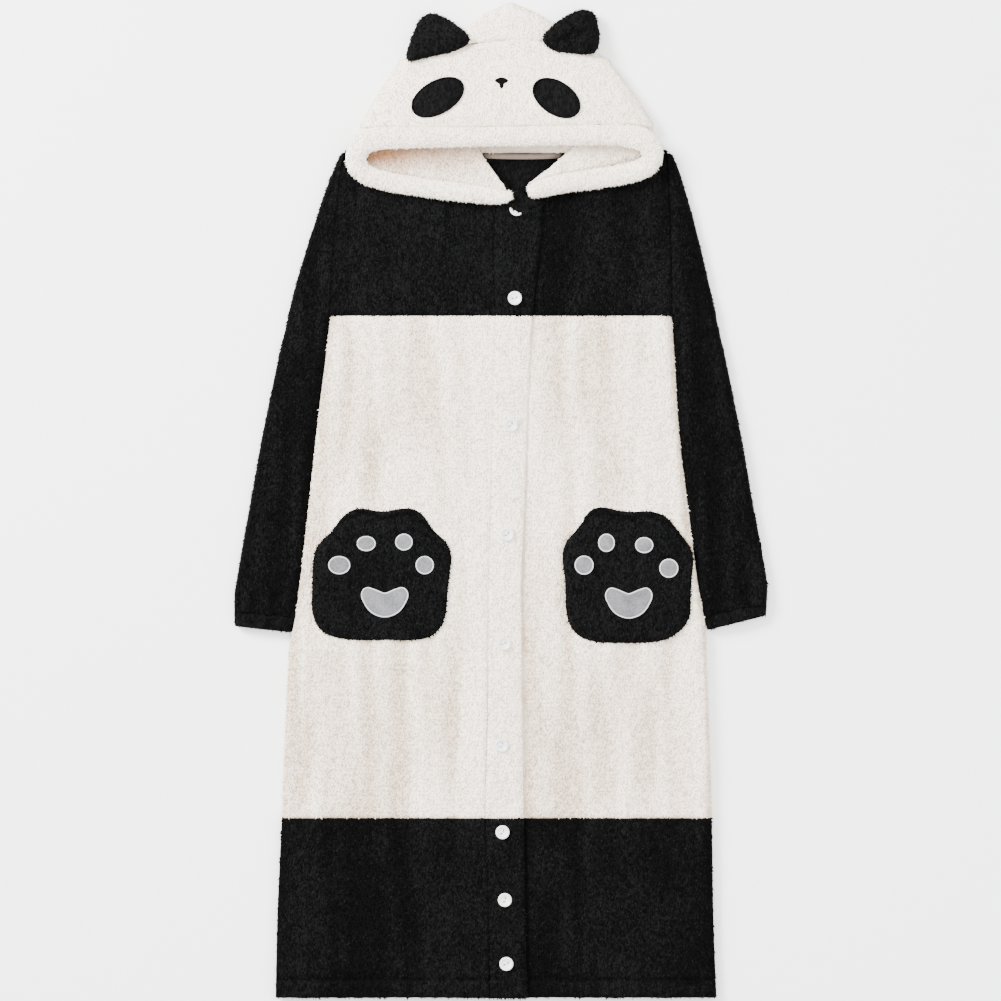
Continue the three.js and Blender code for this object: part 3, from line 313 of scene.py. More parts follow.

# Soft creases of the front, and the stitched line of its hem: run, half width and depth. Their depth also
# sets painted shade in the fleece's colour
creaseReach = 3
creaseFade = 0.02
creases = [
    {"start": (-0.110, 0.225), "end": (-0.118, 0.060), "width": 0.011, "depth": 0.0011},
    {"start": (-0.187, 0.205), "end": (-0.204, 0.045), "width": 0.013, "depth": 0.0012},
    {"start": (-0.030, 0.215), "end": (-0.036, 0.020), "width": 0.012, "depth": 0.0012},
    {"start": (0.126, 0.215), "end": (0.118, 0.090), "width": 0.012, "depth": 0.0012},
    {"start": (0.178, 0.210), "end": (0.186, 0.020), "width": 0.013, "depth": 0.0011},
    {"start": (-0.050, -0.030), "end": (-0.058, -0.300), "width": 0.013, "depth": 0.0013},
    {"start": (-0.142, -0.215), "end": (-0.172, -0.395), "width": 0.012, "depth": 0.0012},
    {"start": (-0.230, -0.215), "end": (-0.262, -0.395), "width": 0.012, "depth": 0.0011},
    {"start": (0.034, -0.259), "end": (0.103, -0.400), "width": 0.014, "depth": 0.0016},
    {"start": (0.104, -0.215), "end": (0.120, -0.395), "width": 0.012, "depth": 0.0012},
    {"start": (0.156, -0.215), "end": (0.176, -0.395), "width": 0.013, "depth": 0.0012},
    {"start": (-0.222, -0.425), "end": (-0.228, -0.640), "width": 0.014, "depth": 0.0013},
    {"start": (-0.122, -0.425), "end": (-0.120, -0.640), "width": 0.016, "depth": 0.0012},
    {"start": (-0.040, -0.425), "end": (-0.042, -0.640), "width": 0.012, "depth": 0.0014},
    {"start": (0.104, -0.430), "end": (0.110, -0.640), "width": 0.018, "depth": 0.0013},
    {"start": (0.214, -0.430), "end": (0.222, -0.640), "width": 0.016, "depth": 0.0012},
    {"start": (-0.150, 0.395), "end": (-0.158, 0.262), "width": 0.014, "depth": 0.0010},
    {"start": (0.140, 0.395), "end": (0.134, 0.262), "width": 0.014, "depth": 0.0010},
    {"start": (-0.292, -0.622), "end": (0.279, -0.622), "width": 0.0032, "depth": 0.0026},
]


def creaseDepth(lines, x, y):
    total = 0.0
    for crease in lines:
        (ax, ay), (bx, by) = crease["start"], crease["end"]
        dx, dy = bx - ax, by - ay
        length = math.hypot(dx, dy)
        run = ((x - ax) * dx + (y - ay) * dy) / length
        aside = ((x - ax) * dy - (y - ay) * dx) / length
        if abs(aside) > creaseReach * crease["width"]:
            continue
        beyond = max(0.0, -run, run - length) / creaseFade
        total += crease["depth"] * math.exp(-(aside / crease["width"]) ** 2 - beyond ** 2)
    return total


def nodeMesh(names):
    bm = bmesh.new()
    for name in names:
        bm.from_mesh(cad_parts[name].data)
    bmesh.ops.remove_doubles(bm, verts=bm.verts, dist=cloth["weld"])
    for name in names[1:]:
        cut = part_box(name)[1].y
        ends = [f for f in bm.faces if abs(f.normal.y) > 0.9]
        caps = [f for f in ends if abs(f.calc_center_median().y - cut) < cloth["capReach"]]
        bmesh.ops.delete(bm, geom=caps, context="FACES")
        rims = [v for v in bm.verts if v.is_boundary]
        bmesh.ops.remove_doubles(bm, verts=rims, dist=cloth["rimWeld"])
    bmesh.ops.join_triangles(bm, faces=bm.faces, angle_face_threshold=0.9, angle_shape_threshold=1.6)
    return bm


def reachSeam(bm, way):
    bm.normal_update()
    for v in bm.verts:
        side = math.copysign(way, v.co.x)
        level = abs(v.normal.z) < cloth["seamSlope"] and v.normal.x * side > 0.3
        if v.co.y > armholeLow and level:
            v.co.x += side * cloth["seamReach"]


def refine(bm, cell):
    for _ in range(cloth["splitPasses"]):
        longEdges = [e for e in bm.edges if e.calc_length() > cell * cloth["splitOver"]]
        if not longEdges:
            break
        bmesh.ops.subdivide_edges(bm, edges=longEdges, cuts=1, use_grid_fill=True)


def foldHeight(fold, x, y):
    turn = math.radians(fold["angle"])
    dx, dy = x - fold["at"][0], y - fold["at"][1]
    along = dx * math.cos(turn) + dy * math.sin(turn)
    aside = dy * math.cos(turn) - dx * math.sin(turn)
    width = fold["above"] if aside > 0 else fold["below"]
    return fold["height"] * math.exp(-(aside / width) ** 2 - (along / fold["length"]) ** 2)


def gatherDepth(gather, x, y):
    if not gather:
        return 0.0
    drift = noise.noise(Vector((x, y, 0)) / gather["driftSize"]) * gather["drift"]
    fade = min(1.0, max(0.0, (gather["top"] - y) / gather["fade"]))
    turn = 2 * math.pi * (x + gather["slant"] * y) / gather["pitch"]
    return gather["depth"] * fade * math.sin(turn + drift)


def fluff(bm, clump, wave, panel):
    creased = panel.get("creased", False)
    swell = panel.get("swell", cloth["seamSwell"])
    fold = panel.get("fold")
    ownCreases = panel.get("creases")
    bm.normal_update()
    # The shade attribute is painted shade: it deepens below the front's top and in creases, falls and
    # stitched lines, and the fleece colour darkens by it
    shade = bm.verts.layers.float.new("shade")
    moves = []
    for v in bm.verts:
        n = v.normal
        p = v.co
        upper = creased and p.z > cloth["frontLow"]
        paintedShade = (cloth["shadeTop"] - p.z) / cloth["shadeDepth"] if upper else 0.0
        if n.z < cloth["underSlope"] and p.z < cloth["underHeight"]:
            continue
        rough = noise.noise(p / cloth["clumpSize"]) * clump
        slow = noise.noise(Vector((p.x, p.y * cloth["waveStretch"], p.z)) / cloth["waveSize"]) * wave
        isWall = abs(n.z) < cloth["wallSlope"]
        push = n * (rough + slow)
        if isWall:
            push = n * max(0.0, rough + slow) * cloth["wallShare"]
        if abs(n.z) > 0.3:
            push.z += n.z * gatherDepth(panel.get("gather"), p.x, p.y)
        if fold and n.z > 0:
            push.z += foldHeight(fold, p.x, p.y)
        if ownCreases and n.z > 0.2:
            line = creaseDepth(ownCreases, p.x, p.y)
            push.z -= line
            paintedShade += line / cloth["lineShade"]
        if isWall:
            push += Vector((n.x, n.y, 0)) * swell
        if upper and abs(n.z) > 0.2:
            along = Vector((p.x / cloth["fallWidth"], p.y / cloth["fallLength"], cloth["fallSeed"]))
            fall = noise.noise(along)
            depth = creaseDepth(creases, p.x, p.y) - fall * cloth["fallHeight"]
            push.z -= depth
            paintedShade += depth / cloth["shadeDepth"]
        v[shade] = min(1.0, max(0.0, paintedShade))
        moves.append((v, push))
    for v, push in moves:
        v.co += push
        v.co.z = max(v.co.z, 0.0)


def coverTree(names):
    bm = bmesh.new()
    for name in names:
        bm.from_mesh(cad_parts[name].data)
    tree = BVHTree.FromBMesh(bm)
    bm.free()
    return tree


# A face grows pile unless its middle, or two of its corners, lie under a piece that covers it

def markPile(bm, rule, covers):
    layer = bm.faces.layers.int.new("pile")
    tree = coverTree(covers)

    def isCovered(point):
        return tree.ray_cast(Vector((point.x, point.y, 0.1)), Vector((0, 0, -1)))[0] is not None

    for face in bm.faces:
        shown = rule(face)
        if shown and covers:
            corners = sum(isCovered(v.co) for v in face.verts)
            shown = corners < 2 and not isCovered(face.calc_center_median())
        face[layer] = 1 if shown else 0


rolledEdge = {"top": 8.9 * mm, "pileLow": 8.7 * mm, "foot": 3.4 * mm}


def onTop(face):
    return face.normal.z > 0.12 and face.calc_center_median().z > rolledEdge["pileLow"]


def outward(face):
    return face.normal.z > -0.2


def onLowerRoll(face):
    centre = face.calc_center_median()
    sideways = face.normal.x * (1 if centre.x > 0 else -1)
    onRoll = rolledEdge["foot"] < centre.z < rolledEdge["top"]
    return onRoll and sideways > 0.35 and face.normal.z > -0.9


def either(face):
    return onTop(face) or onLowerRoll(face)


def pieceFrom(bm, name, material, nodes):
    mesh = bpy.data.meshes.new(name)
    bm.to_mesh(mesh)
    bm.free()
    mesh.polygons.foreach_set("use_smooth", [True] * len(mesh.polygons))
    piece = bpy.data.objects.new(name, mesh)
    bpy.context.scene.collection.objects.link(piece)
    mesh.materials.append(material)
    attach(piece, "root")
    if nodes:
        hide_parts(*nodes)
    return piece


def halfArea(nodes):
    total = 0.0
    for name in nodes:
        total += sum(p.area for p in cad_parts[name].data.polygons) / 2
    return total


# A sheet that fills less than the least share of its box is stated as one that fills half of it
boxShare = {"least": 0.32, "stated": 0.5}


def declareSheet(piece, nodes, tube=False):
    low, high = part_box(nodes[0])
    for name in nodes[1:]:
        l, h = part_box(name)
        low = Vector(map(min, low, l))
        high = Vector(map(max, high, h))
    area = halfArea(nodes)
    length = high.y - low.y
    width = max((high.x - low.x) * (2 if tube else 1), area / length)
    if area / (width * length) < boxShare["least"]:
        width = area / (boxShare["stated"] * length)
    print(f"sheet {piece.name} {width:.3f} x {length:.3f} m, {area:.4f} m2")


topButton = (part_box("button_1")[0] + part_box("button_1")[1]) / 2
topFold = {"at": (topButton.x, topButton.y + 0.5 * mm), "angle": -28, "height": 5.8 * mm,
           "above": 10 * mm, "below": 4.2 * mm, "length": 22 * mm}
buttons = [f"button_{number}" for number in range(1, 10)]
panels = [
    {"name": "back_yoke", "look": "black", "rests": ["floor"], "rule": onLowerRoll, "cell": 7 * mm,
     "swell": 0.7 * mm, "armhole": 1},
    {"name": "back_body", "look": "cream", "rests": ["floor"], "rule": onLowerRoll, "cell": 7 * mm},
    {"name": "back_lower", "look": "black", "rests": ["floor"], "rule": onLowerRoll, "cell": 7 * mm},
    {"name": "front_left_yoke", "look": "black", "rests": ["back_yoke"], "creased": True, "swell": 0.7 * mm,
     "armhole": 1, "under": ["hood_band", "hood_cheek_left"]},
    {"name": "front_left_body", "look": "cream", "rests": ["back_body"], "creased": True,
     "under": ["pocket_left"]},
    {"name": "front_left_lower", "look": "black", "rests": ["back_lower"], "creased": True},
    {"name": "front_right_yoke", "look": "black", "rests": ["back_yoke"], "creased": True, "swell": 0.7 * mm,
     "armhole": 1, "under": ["hood_band", "hood_cheek_right", "placket_yoke"]},
    {"name": "front_right_body", "look": "cream", "rests": ["back_body"], "creased": True,
     "under": ["pocket_right", "placket_body"]},
    {"name": "front_right_lower", "look": "black", "rests": ["back_lower"], "creased": True,
     "under": ["placket_lower"]},
    {"name": "placket_yoke", "look": "black", "rests": ["front_right_yoke"], "fold": topFold,
     "cell": 2.4 * mm, "under": buttons[1:]},
    {"name": "placket_body", "look": "cream", "rests": ["front_right_body"], "under": buttons},
    {"name": "placket_lower", "look": "black", "rests": ["front_right_lower"], "under": buttons},
    {"name": "hood_back", "look": "inside", "rests": ["floor"], "cell": 5 * mm,
     "under": ["hood_face", "hood_crown", "hood_band", "hood_cheek_left", "hood_cheek_right"]},
    {"name": "hood_face", "look": "cream", "rests": ["hood_back"], "swell": 1.1 * mm,
     "under": ["eye_patch_left", "eye_patch_right", "nose_mark", "hood_band"]},
    {"name": "hood_crown", "look": "cream", "rests": ["hood_back"], "swell": 0.8 * mm,
     "under": ["ear_left", "ear_right"]},
    {"name": "hood_cheek_left", "look": "inside", "rests": ["front_left_yoke"], "swell": 0.6 * mm,
     "under": ["hood_band"], "lap": (-5 * mm, 10 * mm, 0.9 * mm)},
    {"name": "hood_cheek_right", "look": "inside", "rests": ["front_right_yoke"], "swell": 0.6 * mm,
     "under": ["hood_band"], "lap": (9 * mm, 10 * mm, 0.9 * mm)},
]
sleeveParts = ("upper", "middle", "lower")
elastic = {"top": -0.055, "fade": 90 * mm, "depth": 1.5 * mm, "pitch": 25 * mm,
           "driftSize": 18 * mm, "drift": 2.4}
gathers = {
    "left": {**elastic, "slant": -0.25},
    "right": {**elastic, "slant": 0.25},
}
for side in ("left", "right"):
    tube = {"look": "black", "rests": ["floor"], "rule": either, "tube": True, "gather": gathers[side]}
    panels.append({"name": f"sleeve_{side}", **tube, "creased": True, "swell": 0.55 * mm, "armhole": -1,
                   "nodes": [f"sleeve_{side}_{part}" for part in sleeveParts]})
    panels.append({"name": f"cuff_{side}", **tube, "cell": 2.4 * mm, "swell": 1.7 * mm})
looks = {
    "black": {"material": blackFleece, "slot": "black_fleece"},
    "cream": {"material": creamFleece, "slot": "cream_fleece"},
    "inside": {"material": hoodInside, "slot": "cream_fleece"},
}

floorLook = {"reach": 14, "low": (0.97, 0.97, 0.97, 1), "high": (0.99, 0.99, 0.99, 1), "grain": 0.4,
             "below": 0.2 * mm}


def makeFloor():
    bm = bmesh.new()
    bmesh.ops.create_grid(bm, x_segments=2, y_segments=2, size=floorLook["reach"])
    mesh = bpy.data.meshes.new("floor")
    bm.to_mesh(mesh)
    bm.free()
    floor = bpy.data.objects.new("floor", mesh)
    bpy.context.scene.collection.objects.link(floor)
    floor.location.z = -floorLook["below"]
    mesh.materials.append(plainMaterial("paleFloor", floorLook["low"], floorLook["high"],
                                        floorLook["grain"], bumpDepth=0.0, roughness=0.9))


makeFloor()
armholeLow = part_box("back_yoke")[0].y
made = {}
for panel in panels:
    name = panel["name"]
    nodes = panel.get("nodes", [name])
    bm = nodeMesh(nodes)
    lap = panel.get("lap")
    if lap:
        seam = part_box(name)[1].y
        for v in bm.verts:
            if v.co.y > seam - cloth["lapReach"]:
                v.co += Vector(lap)
    if "armhole" in panel:
        reachSeam(bm, panel["armhole"])
    refine(bm, panel.get("cell", cloth["cell"]))
    for _ in range(cloth["smoothing"]):
        bmesh.ops.smooth_vert(bm, verts=bm.verts, factor=0.5, use_axis_z=True)
    fluff(bm, cloth["clump"], cloth["wave"], panel)
    bm.normal_update()
    markPile(bm, panel.get("rule", onTop), panel.get("under", []))
    look = looks[panel["look"]]
    piece = pieceFrom(bm, name + "_cloth", look["material"], nodes)
    declareSheet(piece, nodes, tube=panel.get("tube", False))
    made[name] = piece
print("cloth panels ready", sum(len(p.data.polygons) for p in made.values()), "faces")


# Rounded soft pieces: band, ears, pockets, patches and pads

earFolds = {
    "left": {"at": (-0.083, 0.598), "angle": 62, "height": -2.4 * mm,
             "above": 7 * mm, "below": 10 * mm, "length": 24 * mm},
    "right": {"at": (0.092, 0.604), "angle": 33, "height": -3.2 * mm,
              "above": 6 * mm, "below": 9 * mm, "length": 26 * mm},
}
padParts = ("toe_1", "toe_2", "toe_3", "toe_4", "palm")
padNodes = {side: [f"pad_{side}_{part}" for part in padParts] for side in ("left", "right")}


# A stitched facing line on a pocket is pressed in, with painted shade along it
stitchedLine = {"width": 2.2 * mm, "depth": 1.3 * mm}


def facingLine(points):
    ends = [(x * mm, y * mm) for x, y in points]
    return [{"start": a, "end": b, **stitchedLine} for a, b in zip(ends, ends[1:])]


facings = {
    "left": facingLine([
        (-213, -30), (-196, -22), (-176, -17), (-152, -23), (-118, -16), (-96, -32)]),
    "right": facingLine([
        (106, -31), (118, -17), (134, -13), (163, -23), (190, -20), (214, -28), (226, -42)]),
}
roundedWave = 0.4 * mm
rounded = [
    {"node": "hood_band", "look": "cream", "levels": 2, "cell": 4.2 * mm, "clump": 0.9 * mm,
     "rests": ["front_left_yoke"], "swell": 0.6 * mm},
    {"node": "ear_left", "look": "black", "levels": 2, "cell": 3.0 * mm, "clump": 0.9 * mm,
     "rests": ["hood_crown"], "fold": earFolds["left"]},
    {"node": "ear_right", "look": "black", "levels": 2, "cell": 3.0 * mm, "clump": 0.9 * mm,
     "rests": ["hood_crown"], "fold": earFolds["right"]},
    {"node": "pocket_left", "look": "black", "levels": 1, "cell": 2.6 * mm, "clump": 0.9 * mm,
     "creases": facings["left"], "rests": ["front_left_body"], "under": padNodes["left"]},
    {"node": "pocket_right", "look": "black", "levels": 1, "cell": 2.6 * mm, "clump": 0.9 * mm,
     "creases": facings["right"], "rests": ["front_right_body"], "under": padNodes["right"]},
    {"node": "eye_patch_left", "look": "black", "levels": 2, "cell": 3.0 * mm, "clump": 0.4 * mm,
     "rests": ["hood_face"]},
    {"node": "eye_patch_right", "look": "black", "levels": 2, "cell": 3.0 * mm, "clump": 0.4 * mm,
     "rests": ["hood_face"]},
]


def subdivided(bm, levels):
    mesh = bpy.data.meshes.new("work")
    bm.to_mesh(mesh)
    bm.free()
    holder = bpy.data.objects.new("work", mesh)
    bpy.context.scene.collection.objects.link(holder)
    modifier = holder.modifiers.new("round", "SUBSURF")
    modifier.levels = levels
    modifier.render_levels = levels
    bpy.context.view_layer.update()
    final = bpy.data.meshes.new_from_object(holder.evaluated_get(bpy.context.evaluated_depsgraph_get()))
    fresh = bmesh.new()
    fresh.from_mesh(final)
    bpy.data.objects.remove(holder)
    return fresh


for item in rounded:
    name = item["node"]
    bm = subdivided(nodeMesh([name]), item["levels"])
    refine(bm, item["cell"])
    fluff(bm, item["clump"], roundedWave, item)
    bm.normal_update()
    markPile(bm, outward, item.get("under", []))
    look = looks[item["look"]]
    piece = pieceFrom(bm, name + "_cloth", look["material"], [name])
    if name.startswith("ear"):
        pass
    else:
        declareSheet(piece, [name])
    made[name] = piece
print("rounded pieces ready")


# Palm pads have a lower upper edge than their solids, and the neck tape is longer and wider

palm = {"squash": 0.82, "drop": 0.6 * mm}
tapeStretch = {"across": 1.1, "along": 1.2, "up": 1.5 * mm}


def palmShaped(bm, name):
    if not name.endswith("palm"):
        return bm
    low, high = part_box(name)
    middle = (low + high) / 2
    for v in bm.verts:
        up = v.co.y - middle.y
        if up > 0:
            v.co.y = middle.y + up * palm["squash"]
        v.co.y -= palm["drop"]
    return bm


for side in ("left", "right"):
    for name in padNodes[side]:
        bm = subdivided(palmShaped(nodeMesh([name]), name), 2)
        piece = pieceFrom(bm, name + "_cloth", padSatin, [name])
        declareSheet(piece, [name])
bm = subdivided(nodeMesh(["nose_mark"]), 2)
pieceFrom(bm, "nose_stitching", blackStitch, ["nose_mark"])
bm = nodeMesh(["neck_tape"])
tapeLow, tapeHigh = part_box("neck_tape")
tapeMiddle = (tapeLow + tapeHigh) / 2
for v in bm.verts:
    v.co.x = tapeMiddle.x + (v.co.x - tapeMiddle.x) * tapeStretch["across"]
    v.co.y = tapeMiddle.y + (v.co.y - tapeMiddle.y) * tapeStretch["along"] + tapeStretch["up"]
pieceFrom(bm, "neck_tape_woven", tapeWeave, ["neck_tape"])


# Satin-stitched rims along an applique's outline

rim = {"pad": 0.9 * mm, "patch": 1.3 * mm, "inset": 0.6, "lift": 0.1 * mm}


def outlineOf(node):
    bm = palmShaped(nodeMesh([node]), node)
    bmesh.ops.triangulate(bm, faces=bm.faces)
    bm.normal_update()
    around = {}
    for edge in bm.edges:
        slopes = sorted(f.normal.z for f in edge.link_faces)
        if len(slopes) == 2 and slopes[0] < 0.3 < slopes[1]:
            for v in edge.verts:
                around.setdefault(v, []).append(edge.other_vert(v))
    first = min(around, key=lambda v: v.co.x)
    path = [first]
    while True:
        onward = [v for v in around[path[-1]] if v not in path]
        if not onward:
            break
        path.append(onward[0])
    points = [v.co.copy() for v in path]
    bm.free()
    return points


def rimAround(node, material, radius):
    name = node + "_rim"
    points = outlineOf(node)
    centre = sum(points, Vector()) / len(points)
    curve = bpy.data.curves.new(name, "CURVE")
    curve.dimensions = "3D"
    curve.bevel_depth = radius
    curve.bevel_resolution = 2
    curve.resolution_u = 3
    spline = curve.splines.new("BEZIER")
    spline.bezier_points.add(len(points) - 1)
    for knot, p in zip(spline.bezier_points, points):
        inward = centre - p
        inward.z = 0
        knot.co = p + inward.normalized() * radius * rim["inset"] + Vector((0, 0, rim["lift"]))
        knot.handle_left_type = knot.handle_right_type = "AUTO"
    spline.use_cyclic_u = True
    holder = bpy.data.objects.new(name + "Curve", curve)
    bpy.context.scene.collection.objects.link(holder)
    bpy.context.view_layer.update()
    final = bpy.data.meshes.new_from_object(holder.evaluated_get(bpy.context.evaluated_depsgraph_get()))
    bpy.data.objects.remove(holder)
    bm = bmesh.new()
    bm.from_mesh(final)
    pieceFrom(bm, name, material, [])


for side in ("left", "right"):
    for name in padNodes[side]:
        rimAround(name, satinStitch, rim["pad"])
    rimAround(f"eye_patch_{side}", blackStitch, rim["patch"])
print("appliques ready")


# Buttons: turned rim, dished middle, two holes with thread

button = {
    "profile": [(0, 0), (7.6, 0), (8.7, 0.7), (9, 1.7), (8.8, 2.9), (8.2, 3.5), (7.3, 3.6), (6.5, 3.2),
                (6.0, 2.6), (0, 2.5)],
    "holeRadius": 1.15 * mm,
    "holeSpread": 2.3 * mm,
    "turns": 40,
    "holeSides": 14,
    "topLean": 0.25,
    "turnSpread": 1.2,
    "turnMiddle": 0.9,
    "threadRadius": 0.55 * mm,
    "threadSpan": 2.1,
    "threadTop": 3.0 * mm,
    "threadDrop": 2.2 * mm,
}


def buttonMesh():
    bm = bmesh.new()
    verts = [bm.verts.new((r * mm, 0, z * mm)) for r, z in button["profile"]]
    edges = [bm.edges.new(pair) for pair in zip(verts, verts[1:])]
    bmesh.ops.spin(bm, geom=verts + edges, cent=(0, 0, 0), axis=(0, 0, 1), angle=2 * math.pi,
                   steps=button["turns"], use_merge=True)
    bmesh.ops.remove_doubles(bm, verts=bm.verts, dist=cloth["weld"] / 2)
    bmesh.ops.recalc_face_normals(bm, faces=bm.faces)
    mesh = bpy.data.meshes.new("buttonBlank")
    bm.to_mesh(mesh)
    bm.free()
    return mesh


def drilled(blank):
    body = bpy.data.objects.new("buttonWork", blank)
    bpy.context.scene.collection.objects.link(body)
    bm = bmesh.new()
    for side in (-1, 1):
        place = Matrix.Translation((side * button["holeSpread"], 0, 2 * mm))
        bmesh.ops.create_cone(bm, cap_ends=True, segments=button["holeSides"], radius1=button["holeRadius"],
                              radius2=button["holeRadius"], depth=8 * mm, matrix=place)
    cutMesh = bpy.data.meshes.new("holes")
    bm.to_mesh(cutMesh)
    bm.free()
    cutter = bpy.data.objects.new("holes", cutMesh)
    bpy.context.scene.collection.objects.link(cutter)
    cut = body.modifiers.new("drill", "BOOLEAN")
    cut.operation = "DIFFERENCE"
    cut.object = cutter
    bpy.context.view_layer.update()
    final = bpy.data.meshes.new_from_object(body.evaluated_get(bpy.context.evaluated_depsgraph_get()))
    bpy.data.objects.remove(body)
    bpy.data.objects.remove(cutter)
    return final


buttonTurned = drilled(buttonMesh())
for number in range(1, 10):
    node = f"button_{number}"
    low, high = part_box(node)
    centre = (low + high) / 2
    bm = bmesh.new()
    bm.from_mesh(buttonTurned)
    angle = noise.noise(Vector((number * 3.7, 1, 2))) * button["turnSpread"] + button["turnMiddle"]
    turn = Matrix.Rotation(angle, 4, "Z")
    lean = Matrix.Identity(4)
    if number == 1:
        foldAngle = math.radians(topFold["angle"])
        axis = Vector((math.cos(foldAngle), math.sin(foldAngle), 0))
        lean = Matrix.Rotation(-button["topLean"], 4, axis)
    place = Matrix.Translation((centre.x, centre.y, low.z)) @ lean @ turn
    bmesh.ops.transform(bm, matrix=place, verts=bm.verts)
    pieceFrom(bm, f"button_{number}_turned", pearlButton, [node])
    bm = bmesh.new()
    bmesh.ops.create_cone(bm, cap_ends=True, segments=10, radius1=button["threadRadius"],
                          radius2=button["threadRadius"], depth=button["threadSpan"] * button["holeSpread"],
                          matrix=Matrix.Rotation(math.pi / 2, 4, "Y"))
    bmesh.ops.subdivide_edges(bm, edges=bm.edges, cuts=3)
    for v in bm.verts:
        across = abs(v.co.x) / button["holeSpread"]
        v.co.z += button["threadTop"] - button["threadDrop"] * across ** 4
    bmesh.ops.transform(bm, matrix=place, verts=bm.verts)
    pieceFrom(bm, f"button_{number}_thread", whiteThread, [])
print("buttons ready")


# Pile: short locks of fleece that stand on the shells

pile = {
    "spacing": {"cream_fleece": 2.4 * mm, "black_fleece": 2.8 * mm},
    "length": 3.1 * mm,
    "width": 1.35 * mm,
    "height": 0.95 * mm,
    "leanMost": 0.88,
    "leanLeast": 0.11,
    "leanAside": 0.3,
    "sizeLeast": 0.7,
    "sizeMost": 1.3,
    "downward": 0.8,
    "swirlSize": 9 * mm,
    "swirl": 3.0,
    "scatter": 0.4,
    "fringeSpacing": 2.2 * mm,
    "fringeLength": 2.7 * mm,
    "fringeWidth": 0.85 * mm,
    "fringeSlope": 0.75,
    "fringeFoot": 10.5 * mm,
    "fringeUpTo": 0.440,
}


def pileTree(material, spacing, fringe, seed):
    tree = bpy.data.node_groups.new("pileLocks", "GeometryNodeTree")
    tree.interface.new_socket(name="Geometry", in_out="INPUT", socket_type="NodeSocketGeometry")
    tree.interface.new_socket(name="Geometry", in_out="OUTPUT", socket_type="NodeSocketGeometry")

    def node(kind, settings=None, inputs=None):
        made = tree.nodes.new(kind)
        for key, value in (settings or {}).items():
            setattr(made, key, value)
        for key, value in (inputs or {}).items():
            if isinstance(value, bpy.types.NodeSocket):
                tree.links.new(value, made.inputs[key])
            else:
                made.inputs[key].default_value = value
        return made

    start = node("NodeGroupInput")
    marked = node("GeometryNodeInputNamedAttribute", {"data_type": "INT"}, {"Name": "pile"})
    points = node("GeometryNodeDistributePointsOnFaces", {"distribute_method": "POISSON"}, {
        "Mesh": start.outputs[0], "Selection": marked.outputs[0],
        "Distance Min": spacing, "Density Max": 1.0 / spacing ** 2, "Seed": seed})
    tint = node("FunctionNodeRandomValue", {"data_type": "FLOAT"}, {"Seed": seed + 1})
    tinted = node("GeometryNodeStoreNamedAttribute", {"data_type": "FLOAT", "domain": "POINT"}, {
        "Geometry": points.outputs["Points"], "Name": "tint", "Value": tint.outputs[1]})
    lock = node("GeometryNodeMeshUVSphere", None, {"Segments": 4, "Rings": 2, "Radius": 1.0})
    lockSize = (pile["length"], pile["width"], pile["height"])
    if fringe:
        lockSize = (pile["fringeLength"], pile["fringeWidth"], pile["fringeWidth"])
    shaped = node("GeometryNodeTransform", None, {"Geometry": lock.outputs[0], "Scale": lockSize})
    upright = node("FunctionNodeAlignRotationToVector", {"axis": "Z"}, {"Vector": points.outputs["Normal"]})
    spot = node("GeometryNodeInputPosition")
    drift = node("ShaderNodeTexNoise", None, {
        "Vector": spot.outputs[0], "Scale": 1 / pile["swirlSize"], "Detail": 1.0})
    swirl = pile["swirl"]
    curl = node("ShaderNodeVectorMath", {"operation": "MULTIPLY_ADD"}, {
        0: drift.outputs[1], 1: (swirl, swirl, 0), 2: (-swirl / 2, -swirl / 2 - pile["downward"], 0)})
    reach = pile["scatter"]
    scatter = node("FunctionNodeRandomValue", {"data_type": "FLOAT_VECTOR"}, {
        "Min": (-reach, -reach, 0), "Max": (reach, reach, 0), "Seed": seed + 2})
    swing = node("ShaderNodeVectorMath", {"operation": "ADD"}, {0: curl.outputs[0], 1: scatter.outputs[0]})
    along = node("FunctionNodeAlignRotationToVector", {"axis": "X", "pivot_axis": "Z"}, {
        "Rotation": upright.outputs[0], "Vector": swing.outputs[0]})
    lean = node("FunctionNodeRandomValue", {"data_type": "FLOAT_VECTOR"}, {
        "Min": (-pile["leanAside"], -pile["leanMost"], 0),
        "Max": (pile["leanAside"], -pile["leanLeast"], 0), "Seed": seed + 3})
    turned = node("FunctionNodeRotateRotation", {"rotation_space": "LOCAL"}, {
        "Rotation": along.outputs[0], "Rotate By": lean.outputs[0]})
    stray = node("ShaderNodeVectorMath", {"operation": "ADD"}, {
        0: points.outputs["Normal"], 1: scatter.outputs[0]})
    outwards = node("FunctionNodeAlignRotationToVector", {"axis": "X"}, {"Vector": stray.outputs[0]})
    size = node("FunctionNodeRandomValue", {"data_type": "FLOAT"}, {
        "Min": pile["sizeLeast"], "Max": pile["sizeMost"], "Seed": seed + 4})
    instances = node("GeometryNodeInstanceOnPoints", None, {
        "Points": tinted.outputs[0], "Instance": shaped.outputs[0],
        "Rotation": (outwards if fringe else turned).outputs[0], "Scale": size.outputs[1]})
    real = node("GeometryNodeRealizeInstances", None, {"Geometry": instances.outputs[0]})
    smooth = node("GeometryNodeSetShadeSmooth", None, {"Geometry": real.outputs[0]})
    dressed = node("GeometryNodeSetMaterial", None, {"Geometry": smooth.outputs[0], "Material": material})
    node("NodeGroupOutput", None, {0: dressed.outputs[0]})
    return tree


